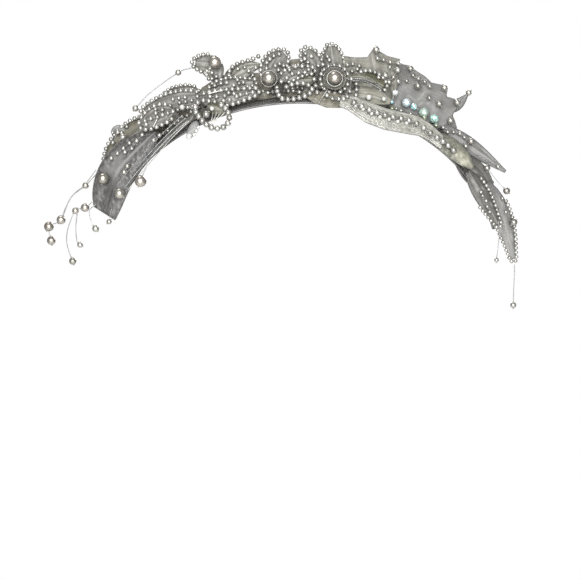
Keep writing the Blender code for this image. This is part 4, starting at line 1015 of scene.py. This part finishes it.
def ruled_cloth(name, low, high, depth, belly, look, nodes=(), rows=64, columns=17, hem=0.0):
    """A wide sheet with soft folds that run from its lower to its upper edge."""
    seed = len(CLOTH_GRIDS) * SEED_STEP
    spots = ruled_places(low, high, depth, belly, rows, columns)

    def at(i, j):
        t = i / (rows - 1)
        side = j / (columns - 1)
        wander = noise_at(side * 2.0, t * 6.0, seed)
        fine = noise_at(side * 7.0, t * 24.0, seed + 5)
        fold = math.sin(t * 34 + 3.0 * wander + side * 2.0)
        rib = stripe(t * 9 + 2.4 * wander + 0.8 * side, 0.05) * (0.5 + fine)
        edge = bell(1 - side, 0.05) + bell(side, 0.05)
        height = 0.20 * fold + 0.30 * wander + 0.10 * fine + 0.12 * rib + hem * edge
        spot = spots[i][j]
        # paleness of the ribs and the hem; painted shade in the hollows of the folds, and darker where the noise is
        # high
        return (place(spot.x, spot.y, spot.z - height), min(1.0, 0.35 * rib + 0.6 * hem * edge),
                min(1.0, max(0.0, -1.5 * height) + 0.35 * max(0.0, wander)))

    points, vein, shade = sampled(rows, columns, at)
    cloth_piece(name, points, look, nodes, vein, shade)
    CLOTH_GRIDS[name] = points


def outline_of(points):
    """The rim of a cloth grid as one closed path."""
    rim = [*points[0], *points[1:, -1], *points[-1, -2::-1], *points[-2:0:-1, 0]]
    return [Vector(p) for p in rim]


def wired_edges():
    """A fine wire round every leaf, and a thread bound round every stem."""
    wires = Soup()
    bindings = Soup()
    stemmed = {leaf.name for leaf in LEAVES}
    for name, points in CLOTH_GRIDS.items():
        if name.startswith(("back_", "front_")):
            continue
        if name in ("horn_sheet_cloth", "star_sheet_cloth"):
            wires.tube([Vector(p) for p in points[:, -1]], LEAF_WIRE, 6)
            continue
        rim = outline_of(points[STEM_ROWS:] if name in stemmed else points)
        wires.tube(evenly(rim + [rim[0]], max(24, int(path_length(rim) / MM / 1.4)))[:-1], LEAF_WIRE, 6, True)
        if name not in stemmed:
            continue
        core = evenly([Vector(points[i, points.shape[1] // 2]) for i in range(2, STEM_ROWS)], 60)
        ahead = (core[-1] - core[0]).normalized()
        one = ahead.orthogonal().normalized()
        two = ahead.cross(one)
        coil = []
        for k, point in enumerate(core):
            turn = math.tau * k / 8
            coil.append(point + (one * math.cos(turn) + two * math.sin(turn)) * 0.75 * MM)
        bindings.tube(coil, 0.17, 5)
    wires.finish("leaf_edge_wires", "wire", "wire")
    bindings.finish("stem_bindings", "net_strand", "filament")


# Strings of seed pearls

BEADS_PLACED = []
THREADS = Soup()


def note_bead(point):
    """Keeps where a bead shows in the front view, so that no second one is sewn on the same spot."""
    x, y, z = (c / MM for c in point)
    grow = 1 + y / EYE_DISTANCE
    BEADS_PLACED.append((EYE_ACROSS + (x - EYE_ACROSS) / grow, EYE_UP + (z - EYE_UP) / grow, y))


def string_beads(soup, path, diameter, pitch, closed=False):
    """Beads at an even pitch along a path in metres, with their thread."""
    route = list(path) + ([path[0]] if closed else [])
    length = path_length(route) / MM
    count = max(2, round(length / pitch) + (0 if closed else 1))
    spots = evenly(route, count + 1)[:-1] if closed else evenly(route, count)
    for i, spot in enumerate(spots):
        add_bead(soup, spot, heading(spots, i, closed), diameter)
        note_bead(spot)
    thread = evenly(route, max(8, int(length / 1.2)))
    THREADS.tube(thread[:-1] if closed else thread, STRING_THREAD, 5, closed)


def edge_route(leaf, radius, start, end):
    """The line of a string round a leaf, as in the solids."""
    spine = leaf_spine(leaf)
    clear = radius + GAP + STRING_CLEAR - 0.3
    shares = [i / 16 for i in range(17)]
    upper = [leaf_point(spine, leaf, start + (1 - start) * s, 1) for s in shares]
    lower = [leaf_point(spine, leaf, end + (1 - end) * s, -1) for s in shares]
    outline = upper + [upper[-1].lerp(lower[-1], 0.5)] + lower[::-1]
    points = []
    for i, point in enumerate(outline):
        ahead = heading(outline, i)
        outward = Vector((-ahead.y, ahead.x)).normalized() * clear
        at_tip = i == len(upper)
        if at_tip:
            outward *= TIP_REACH
        for degrees in (42, 0, -42) if at_tip else (0,):
            turned = outward.copy()
            turned.rotate(Matrix.Rotation(math.radians(degrees), 2))
            points.append(place(point.x + turned.x, point.y + turned.y, point.z))
    return evenly(points, 80)


def bead_string(node, route, diameter, pitch, closed=False):
    """The beads that stand for one string of the solids."""
    soup = Soup()
    string_beads(soup, route, diameter, pitch, closed)
    soup.finish(node + "_beads", "seed_pearl", "seed_pearl", (node,))


def build_strings():
    leaves = {leaf.name: leaf for leaf in LEAVES}
    for edge in EDGE_STRINGS:
        radius = STRING_RADIUS_IN_CAD if edge.diameter > 2.25 else FINE_STRING_RADIUS_IN_CAD
        route = edge_route(leaves[edge.leaf], radius, edge.start, edge.end)
        bead_string(edge.node, route, edge.diameter * 1.1, edge.diameter * 1.24)
    for node, (diameter, pitch, spots) in FREE_STRINGS.items():
        route = [place(*p) for p in smooth_path([leaning(*spot) for spot in spots], 60)]
        bead_string(node, route, diameter, pitch)
    _, across, up, depth, cup, cup_depth, _ = FLOWERS[1]
    reach = cup + GAP + STRING_RADIUS_IN_CAD
    ring = [leaned((across + reach * math.cos(turn), up + reach * math.sin(turn), depth - cup_depth / 2))
            for turn in turns(48)]
    bead_string("string_flower_2", ring, 2.4, 3.3, True)


# Beads on cloth

def behind_tree():
    verts = []
    faces = []
    for points, shell in CLOTH_SHELLS:
        faces += [tuple(i + len(verts) for i in f) for f in shell]
        verts += [tuple(p) for p in points]
    return BVHTree.FromPolygons(verts, faces)


def rest_on_cloth(tree, across, up, diameter):
    """The centre of a bead that lies on the cloth behind a front-view place, or None where there is none."""
    eye = Vector((EYE_ACROSS, -EYE_DISTANCE, EYE_UP)) * MM
    ahead = (Vector((across, 0, up)) * MM - eye).normalized()
    hit, normal, _, _ = tree.ray_cast(eye, ahead)
    if hit is None:
        return None
    slope = max(abs(normal.dot(ahead)), 0.55)
    return hit - ahead * (diameter / 2 * MM * 0.9 / slope)


def inner_rows():
    """Front-view places of the rows inside the leaves' edges, as in SEWN_ROWS."""
    leaves = {leaf.name: leaf for leaf in LEAVES + FILLERS}
    for name, side, start, end, diameter in INNER_ROWS:
        leaf = leaves[name]
        spine = leaf_spine(leaf)
        line = [leaf_point(spine, leaf, between(start, end, k, 20), side) for k in range(21)]
        count = max(2, int(path_length(line) / (diameter * 1.3)))
        yield diameter, [(spot.x, spot.y) for spot in evenly(line, count)]


def is_taken(across, up, depth):
    """Whether a bead that was placed before shows at this place, or hides it."""
    return any(math.hypot(across - x, up - z) < BEAD_SPACING and y < depth + BEAD_DEPTH for x, z, y in BEADS_PLACED)


def sew_rows(tree):
    soup = Soup()
    for diameter, row in SEWN_ROWS + tuple(inner_rows()):
        run = []
        for across, up in row:
            spot = rest_on_cloth(tree, across, up, diameter)
            if spot is not None and not is_taken(across, up, spot.y / MM):
                run.append(spot)
                note_bead(spot)
        for i, spot in enumerate(run):
            add_bead(soup, spot, heading(run, i) if len(run) > 1 else (1, 0, 0), diameter)
        for a, b in zip(run, run[1:]):
            if (b - a).length < LONGEST_STITCH * MM:
                THREADS.tube(evenly([a, b], 4), SEWING_THREAD, 5)
    soup.finish("sewn_seed_pearls", "seed_pearl", "seed_pearl")


# Pearls, sprays and crystals

def in_front(depth, diameter):
    """The depth at which a bead rests on a sheet whose middle lies at the given depth."""
    return depth - (SHEET_HALF_IN_CAD + GAP + diameter / 2) * RESTING_SLOPE


def add_pearl(soup, crimps, centre, axis, diameter):
    """A drilled pearl with a crimp at each end of its hole."""
    add_bead(soup, centre, axis, diameter, PEARL, 0.015)
    direction = Vector(axis).normalized()
    for end in (-1, 1):
        near = centre + direction * end * diameter * 0.47 * MM
        far = centre + direction * end * (diameter * 0.5 + 0.55) * MM
        crimps.tube(evenly([near, far], 5), [0.2, 0.36, 0.42, 0.36, 0.24], 8)


def pearl_strand(name, beads, crimps, threads, sewn=True):
    """Pearls on a thread; a diameter of 0 is a bend."""
    sizes = [size for _, _, _, size in beads]
    knots = [leaned((a, u, in_front(d, size) if sewn else d)) for a, u, d, size in beads]
    soup = Soup()
    for i, size in enumerate(sizes):
        if size:
            add_pearl(soup, crimps, knots[i], heading(knots, i), size)
            note_bead(knots[i])
    if sewn:
        for a, b, first, second in zip(knots, knots[1:], sizes, sizes[1:]):
            if (b - a).length < 5.5 * MM or not (first and second):
                threads.tube(evenly([a, b], 4), 0.15, 5)
    else:
        threads.tube(smooth_path(knots, max(12, int(path_length(knots) / MM))), SPRAY_FILAMENT, 8)
    soup.finish(name + "_pearls", "pearl" if max(sizes) > 4 else "small_pearl", "pearl", (name,))


def build_pearls():
    crimps = Soup()
    filaments = Soup()
    for name, beads in SEWN_STRANDS.items():
        pearl_strand(name, beads, crimps, THREADS)
    for name, beads in SPRAYS.items():
        pearl_strand(name, beads, crimps, filaments, False)
    # a small pearl on its own filament at the right end, which hangs from the inner drop leaf
    lone = Soup()
    filaments.tube(leaned_curve(HANGING_FILAMENT, 24), FINE_FILAMENT, 8)
    add_pearl(lone, crimps, leaned(HANGING_FILAMENT[-1]), (0, 0, 1), 2.5)
    for *spot, size in LONE_PEARLS:
        centre = leaned(spot)
        add_pearl(lone, crimps, centre, (1, 0, 1), size)
        note_bead(centre)
    filaments.tube(leaned_curve(SHORT_FILAMENT, 12), 0.18, 7)
    filaments.tube(leaned_curve(SECOND_LEG, 40), FINE_FILAMENT, 8)
    lone.finish("lone_pearls", "small_pearl", "pearl")
    crimps.finish("crimp_beads", "crimp", "wire")
    filaments.finish("spray_filaments", "filament", "filament")


def cut_crystal(diameter):
    """A faceted bead with a table at each end of its hole, as (points, faces)."""
    sides = 8
    profile = ((0.34, 0.86), (0.78, 0.58), (1.0, 0.0), (0.78, -0.58), (0.34, -0.86))
    points = []
    faces = []
    for r, (radius, height) in enumerate(profile):
        for k in range(sides):
            turn = math.tau * (k + 0.5 * (r % 2)) / sides
            points.append((radius * math.cos(turn), radius * math.sin(turn), height))
    for r in range(len(profile) - 1):
        for k in range(sides):
            m = (k + 1) % sides
            a, b = r * sides, (r + 1) * sides
            if r % 2:
                faces += [(a + k, b + m, a + m), (a + k, b + k, b + m)]
            else:
                faces += [(a + k, b + k, a + m), (a + m, b + k, b + m)]
    faces.append(tuple(range(sides - 1, -1, -1)))
    faces.append(tuple(range(4 * sides, 5 * sides)))
    return np.array(points) * diameter / 2 * MM, faces


def build_crystals():
    soup = Soup()
    knots = []
    hues = []
    for across, up, depth, size, hue in CRYSTALS:
        centre = leaned((across, up, in_front(depth, size)))
        if hue < OLIVE_HUE:
            knots.append(centre)
        turned = Matrix.Rotation(RANDOM.uniform(0, math.tau), 3, (0.3, 1, 0.2)) @ Matrix.Rotation(0.9, 3, "X")
        points, faces = cut_crystal(size * 1.04)
        soup.add(points @ np.array(turned).T + np.array(centre), faces)
        hues += [hue] * len(points)
        note_bead(centre)
    THREADS.tube(evenly(knots, 40), SEWING_THREAD, 5)
    soup.finish("crystal_row_cut", "crystal", "crystal", ("crystal_row",), smooth=False, marks={"hue": hues})


def fluted_cup(radius, depth, flutes):
    """A thin clear cup with a fluted rim, open to -Y, as (points, faces) about its foot."""
    wall = 0.35
    sides = flutes * 8
    outer = [(0.12, 0.0), (0.4, 0.05), (0.66, 0.16), (0.86, 0.45), (0.97, 0.8), (1.0, 1.0)]
    profile = [(r * radius, f * depth, r) for r, f in outer]
    profile += [(r * radius - wall, f * depth + wall * (0.0 if r > 0.99 else 1.0), r) for r, f in reversed(outer[1:])]
    points = []
    for distance, forward, share in profile:
        for turn in turns(sides):
            wave = 1 + 0.02 * share ** 3 * math.cos(flutes * turn)
            lift = 0.15 * share ** 3 * math.cos(flutes * turn)
            points.append((distance * wave * math.cos(turn), -forward - lift, distance * wave * math.sin(turn)))
    faces = []
    for r in range(len(profile) - 1):
        faces += ring_faces(r * sides, (r + 1) * sides, sides)
    faces.append(tuple(range(sides)))
    faces.append(tuple(range((len(profile) - 1) * sides, len(profile) * sides)))
    return np.array(points) * MM, faces


def centre_pearl(name, centre, axis, diameter):
    """A large pearl on its own, which stands for the solid of that name."""
    pearl = Soup()
    add_bead(pearl, centre, axis, diameter, PEARL, 0.012)
    pearl.finish(name + "_drilled", "pearl", "pearl", (name,))
    note_bead(centre)


def build_flowers():
    collars = Soup()
    for name, across, up, depth, cup, cup_depth, diameter in FLOWERS:
        foot = leaned((across, up, depth))
        shell = Soup()
        points, faces = fluted_cup(cup, cup_depth, 9)
        shell.add(points + np.array(foot), faces)
        shell.finish("cup_" + name + "_fluted", "cup", "sequin_cup", ("cup_" + name,))
        centre = foot + Vector((0, -(CUP_WALL_IN_CAD + GAP + diameter / 2), 0)) * MM
        centre_pearl("pearl_" + name, centre, (0.2, 0.25, 1), diameter)
        collar = [foot + Vector((math.cos(t), 0, math.sin(t))) * (diameter / 2 + 0.6) * MM + Vector((0, -2.6 * MM, 0))
                  for t in turns(48)]
        collars.tube(collar, 0.3, 8, True)
    across, up, depth, diameter = UPTURNED_PEARL
    centre_pearl("pearl_upturned", leaned((across, up, in_front(depth, diameter))), (1, 0.1, 0.2), diameter)
    collars.finish("pearl_collars", "crimp", "wire")


# Band

def build_band():
    rows, columns = 150, 15

    def at(i, j):
        theta = between(ARCH_LEFT_END, ARCH_RIGHT_END, i, rows - 1)
        share = j / (columns - 1)
        edge = max(0.0, 1 - min(share, 1 - share) / 0.07)
        ripple = 0.12 * noise_at(theta * 9, share * 3, 3.1) + 0.25 * edge
        return band_place(theta, BAND_WIDTH * (share - 0.5), BAND_WALL / 2 + ripple), edge, 0.0

    points, vein, _ = sampled(rows, columns, at)
    cloth_piece("band_net_cloth", points, "net", ("band_net",), vein, wall=NET_WALL)


def ruche_height(theta, w):
    """How far the gathered cloth on the band stands off it, in mm."""
    along = theta * ARCH_MEAN_RADIUS
    drift = 2.2 * noise_at(along * 0.05, w * 0.12, 1.7)
    gather = abs(math.sin(along * RUCHE_PACE + drift + 0.08 * w)) ** 1.5
    fine = noise_at(along * 0.5, w * 0.35, 9.0)
    share = (w - RUCHE_FRONT) / (RUCHE_BACK - RUCHE_FRONT)
    hem = min(1.0, 5 * share, 5 * (1 - share))
    return RUCHE_FOOT + max(0.0, hem) * (0.9 + 1.1 * gather + 0.5 * fine)


def build_ruche():
    """Gathered organza sewn along the band, under the leaves, with pearls that wander over it."""
    rows, columns = 420, 15

    def at(i, j):
        theta = between(RUCHE_LEFT, RUCHE_RIGHT, i, rows - 1)
        scallop = 0.7 * math.sin(theta * ARCH_MEAN_RADIUS * RUCHE_PACE) * (2 * j / (columns - 1) - 1)
        w = between(RUCHE_FRONT, RUCHE_BACK, j, columns - 1)
        height = ruche_height(theta, w)
        lift = (height - RUCHE_FOOT) / 2.4
        # painted highlight on the crests of the gathers where the cloth stands high, painted shade in the troughs where
        # it lies low
        return band_place(theta, w + scallop, height), max(0.0, lift - 0.6), clamped(0.75 - lift)

    points, vein, shade = sampled(rows, columns, at)
    cloth_piece("band_ruche", points, "tan", (), vein, shade)
    soup = Soup()
    for start, end, middle, swing, pace, diameter in RUCHE_STRINGS:
        route = []
        for k in range(241):
            theta = math.radians(between(start, end, k, 240))
            w = middle + swing * math.sin(pace * theta) + 1.1 * math.sin(2.7 * pace * theta + 1.0)
            route.append(band_place(theta, w, ruche_height(theta, w) + diameter * 0.45))
        string_beads(soup, route, diameter, diameter * 1.35)
    soup.finish("ruche_seed_pearls", "seed_pearl", "seed_pearl")


def band_mesh_strands():
    """The six-sided mesh of the net, as strands on its bare outer edge and on its whole inner face."""
    half = NET_CELL / 2
    length = ARCH_MEAN_RADIUS * (ARCH_RIGHT_END - ARCH_LEFT_END)
    rise, run = NET_CELL * 0.75, NET_CELL * 0.866

    def spot(a, w, height):
        theta = between(ARCH_LEFT_END, ARCH_RIGHT_END, clamped(a / length))
        return band_place(theta, min(max(w, 0.0), BAND_WIDTH) - BAND_WIDTH / 2, height)

    for name, height, limit in (("outer", BAND_WALL + 0.02, 8.5), ("inner", -0.1, BAND_WIDTH)):
        soup = Soup()
        for m in range(int(BAND_WIDTH / rise) + 1):
            for n in range(int(length / run) + 1):
                w = m * rise
                a = (n + 0.5 * (m % 2)) * run
                corners = [(a + half * math.sin(turn), w + half * math.cos(turn)) for turn in turns(6)[:3]]
                corners.append((a, w - half))
                for (a0, w0), (a1, w1) in zip(corners, corners[1:]):
                    if min(w0, w1) < -0.1 or max(w0, w1) > limit + 0.1 or max(a0, a1) > length:
                        continue
                    start, end = spot(a0, w0, height), spot(a1, w1, height)
                    if (end - start).length > 1e-5:
                        soup.tube([start, end], 0.1, 4)
        soup.finish("band_net_strands_" + name, "net_strand", "net")


def inner_stitches():
    """Threads on the inside of the band: two running rows, and crosses where the stems are sewn on."""
    soup = Soup()
    for w, step in ((-9.0, 4.2), (8.6, 5.0)):
        count = int(ARCH_MEAN_RADIUS * (RUCHE_RIGHT - RUCHE_LEFT) / step)
        for k in range(count):
            theta = between(RUCHE_LEFT, RUCHE_RIGHT, k + 0.2, count)
            long = 0.55 * step / ARCH_MEAN_RADIUS
            slant = RANDOM.uniform(-0.35, 0.35)
            soup.tube([band_place(theta + long * f, w + slant * f, -0.18 - 0.28 * math.sin(math.pi * f))
                       for f in (0, 0.25, 0.5, 0.75, 1)], 0.17, 6)
    for leaf in LEAVES:
        theta = arch_angle(*leaf.base)
        w = min(max(leaf.depth + 2.0, -7.5), 6.0)
        for da, dw in ((1.5, 1.3), (1.5, -1.3), (0.3, 1.9)):
            soup.tube([band_place(theta + f * da / ARCH_MEAN_RADIUS, w + f * dw, -0.2 - 0.35 * (1 - abs(f)))
                       for f in (-1, -0.5, 0, 0.5, 1)], 0.18, 6)
    soup.finish("inner_stitches", "thread", "filament")


def build_edge_wire():
    """The band's wire, wound with tape: the tape's turns show as fine ridges."""
    clear = BAND_WIDTH / 2 + GAP + EDGE_WIRE_RADIUS
    end_clear = (GAP + EDGE_WIRE_RADIUS) / ARCH_MEAN_RADIUS
    left = ARCH_LEFT_END - end_clear
    right = ARCH_RIGHT_END + end_clear
    height = BAND_WALL / 2
    front, back = ([band_place(between(left, right, i, 90), w, height) for i in range(91)] for w in (-clear, clear))
    ends = [[band_place(theta, w, height) for w in (-8.0, -4.0, 0.0, 4.0, 8.0)] for theta in (left, right)]
    path = front + ends[1] + back[::-1] + ends[0][::-1]
    count = 1600
    radii = [EDGE_WIRE_RADIUS * (0.84 + 0.16 * abs(math.sin(math.pi * i / 4 + 0.4))) for i in range(count)]
    soup = Soup()
    soup.tube(evenly(path + [path[0]], count + 1)[:-1], radii, 10, True)
    soup.finish("edge_wire_wound", "wire", "wire", ("edge_wire",))


def lace_motifs():
    """Corded lace: a scalloped hem, small rings above it and short bars between them."""
    points = CLOTH_GRIDS["lace_leaf_cloth"]
    rows, columns = points.shape[:2]
    normals = sheet_normals(points)
    if normals[rows // 2, columns // 2, 1] > 0:
        normals = -normals

    def spot(t, side):
        x, y = t * (rows - 1), side * (columns - 1)
        i, j = min(int(x), rows - 2), min(int(y), columns - 2)
        a = points[i, j] + (points[i + 1, j] - points[i, j]) * (x - i) + (points[i, j + 1] - points[i, j]) * (y - j)
        return Vector(a + normals[i, j] * 0.3 * MM)

    soup = Soup()
    length = path_length([Vector(p) for p in points[:, columns // 2]]) / MM
    count = int(length / 3.0)
    soup.tube([spot(0.01 + 0.98 * k / (count * 8), 0.045 + 0.05 * abs(math.sin(math.pi * k / 8)))
               for k in range(count * 8 + 1)], 0.26, 6)
    for side, cord in ((0.2, 0.2), (0.86, 0.16)):
        soup.tube([spot(0.01 + 0.98 * k / 160, side + 0.02 * math.sin(k * 0.7)) for k in range(161)], cord, 5)
    for n in range(count):
        t = 0.02 + 0.95 * (n + 0.5) / count
        soup.tube([spot(t + 0.9 / length * math.cos(turn), 0.30 + 0.075 * math.sin(turn)) for turn in turns(12)],
                  0.17, 5, True)
        soup.tube([spot(t, 0.10), spot(t + 0.3 / length, 0.2)], 0.2, 5)
        soup.tube([spot(t + 1.4 / length, 0.38), spot(t + 1.2 / length, 0.64)], [0.15, 0.22], 5)
    soup.finish("lace_cords", "lace_cord", "lace")


def loose_threads():
    """Bundles of clear filament along the left leaf, shiny cords at the right, and single stitches; one stitch and a
    filament drawn white are painted highlights.
    """
    clear = Soup()
    for k, (shift, depth) in enumerate(((0.0, -18.0), (1.9, -18.2), (4.2, -18.1))):
        route = [(a - shift * 0.7, u + shift * 0.7, depth) for a, u in LEFT_BUNDLE[k % 2:]]
        clear.tube(leaned_curve(route, 60), 0.26 - 0.06 * k, 7)
    for shift in (0.0, 1.2):
        clear.tube(leaned_curve([(a, u - shift, d) for a, u, d in RIGHT_CORD], 40), 0.17, 8)
    white = Soup()
    for stitch in STITCHES:
        white.tube(evenly([leaned(spot) for spot in stitch], 8), [0.2] + [0.36] * 6 + [0.2], 7)
    for k in range(4):
        fan = ((-49.6, -15.6, -19.0), (-48.4 + 1.3 * k, -12.2, -19.2),
               (-47.9 + 2.2 * k, -8.6 - 0.2 * abs(k - 2), -18.6))
        white.tube(leaned_curve(fan, 14), 0.26, 6)
    # a filament in the white cord colour: a painted highlight along a clear filament
    white.tube(leaned_curve(LOW_FILAMENT, 60), FINE_FILAMENT, 7)
    white.finish("white_stitches_and_glints", "lace_cord", "filament")
    clear.finish("clear_threads", "filament", "filament")


def frosted_beads(tree):
    """Small clear beads that sit under the lace row, on the lace tab and between the left leaves."""
    soup = Soup()
    for across, up, diameter in FROSTED_BEADS:
        spot = rest_on_cloth(tree, across, up, diameter)
        if spot is not None:
            add_bead(soup, spot, (1, 0.1, -0.4), diameter)
    soup.finish("frosted_beads", "frosted", "seed_pearl")


# Stage

def build_camera(scene):
    camera = bpy.data.objects.new("camera", bpy.data.cameras.new("camera"))
    camera.location = Vector((EYE_ACROSS, -EYE_DISTANCE, EYE_UP)) * MM
    camera.rotation_euler = (math.radians(90), 0, 0)
    camera.data.sensor_width = 36.0
    camera.data.lens = 36.0 * EYE_DISTANCE / VIEW_WIDTH
    camera.data.clip_start = 0.01
    scene.collection.objects.link(camera)
    scene.camera = camera


def build_stage():
    """Camera, soft studio light, a white backdrop and a pale floor."""
    scene = bpy.context.scene
    build_camera(scene)
    scene.view_settings.view_transform = "Standard"
    for name, where, energy, size in LIGHTS:
        light = bpy.data.objects.new(name, bpy.data.lights.new(name, "AREA"))
        light.data.energy = energy
        light.data.shape = "DISK"
        light.data.size = size
        light.location = where
        light.rotation_euler = (Vector((0, 0, -0.04)) - light.location).to_track_quat("-Z", "Y").to_euler()
        scene.collection.objects.link(light)
    world = bpy.data.worlds.new("studio")
    scene.world = world
    world.use_nodes = True
    tree = world.node_tree
    background = tree.nodes["Background"]
    background.inputs["Color"].default_value = (1, 1, 1, 1)
    seen = tree.nodes.new("ShaderNodeLightPath")
    strength = tree.nodes.new("ShaderNodeMapRange")
    strength.inputs["To Min"].default_value = 0.15
    strength.inputs["To Max"].default_value = 1.0
    tree.links.new(seen.outputs["Is Camera Ray"], strength.inputs["Value"])
    tree.links.new(strength.outputs[0], background.inputs["Strength"])
    bm = bmesh.new()
    bmesh.ops.create_circle(bm, cap_ends=True, segments=96, radius=0.85)
    floor = mesh_object("floor", [tuple(v.co + Vector((0, 0, FLOOR_HEIGHT))) for v in bm.verts],
                        [tuple(v.index for v in f.verts) for f in bm.faces], "floor")
    bm.free()


def main():
    build_stage()
    build_edge_wire()
    build_band()
    band_mesh_strands()
    build_ruche()
    inner_stitches()
    for leaf in LEAVES:
        leaf_cloth(leaf, True)
    for leaf in FILLERS:
        leaf_cloth(leaf, False)
    for node, low, high, depth, belly, look, hem in RULED_SHEETS:
        ruled_cloth(node + "_cloth", low, high, depth, belly, look, (node,), hem=hem)
    for name, low, high, depth in BACK_SHEETS:
        ruled_cloth(name, low, high, depth, 0.4, "dusk" if name == "front_left" else "tan", rows=40, columns=11)
    wired_edges()
    build_flowers()
    build_pearls()
    build_crystals()
    build_strings()
    tree = behind_tree()
    sew_rows(tree)
    frosted_beads(tree)
    lace_motifs()
    loose_threads()
    THREADS.finish("bead_threads", "filament", "filament")


main()
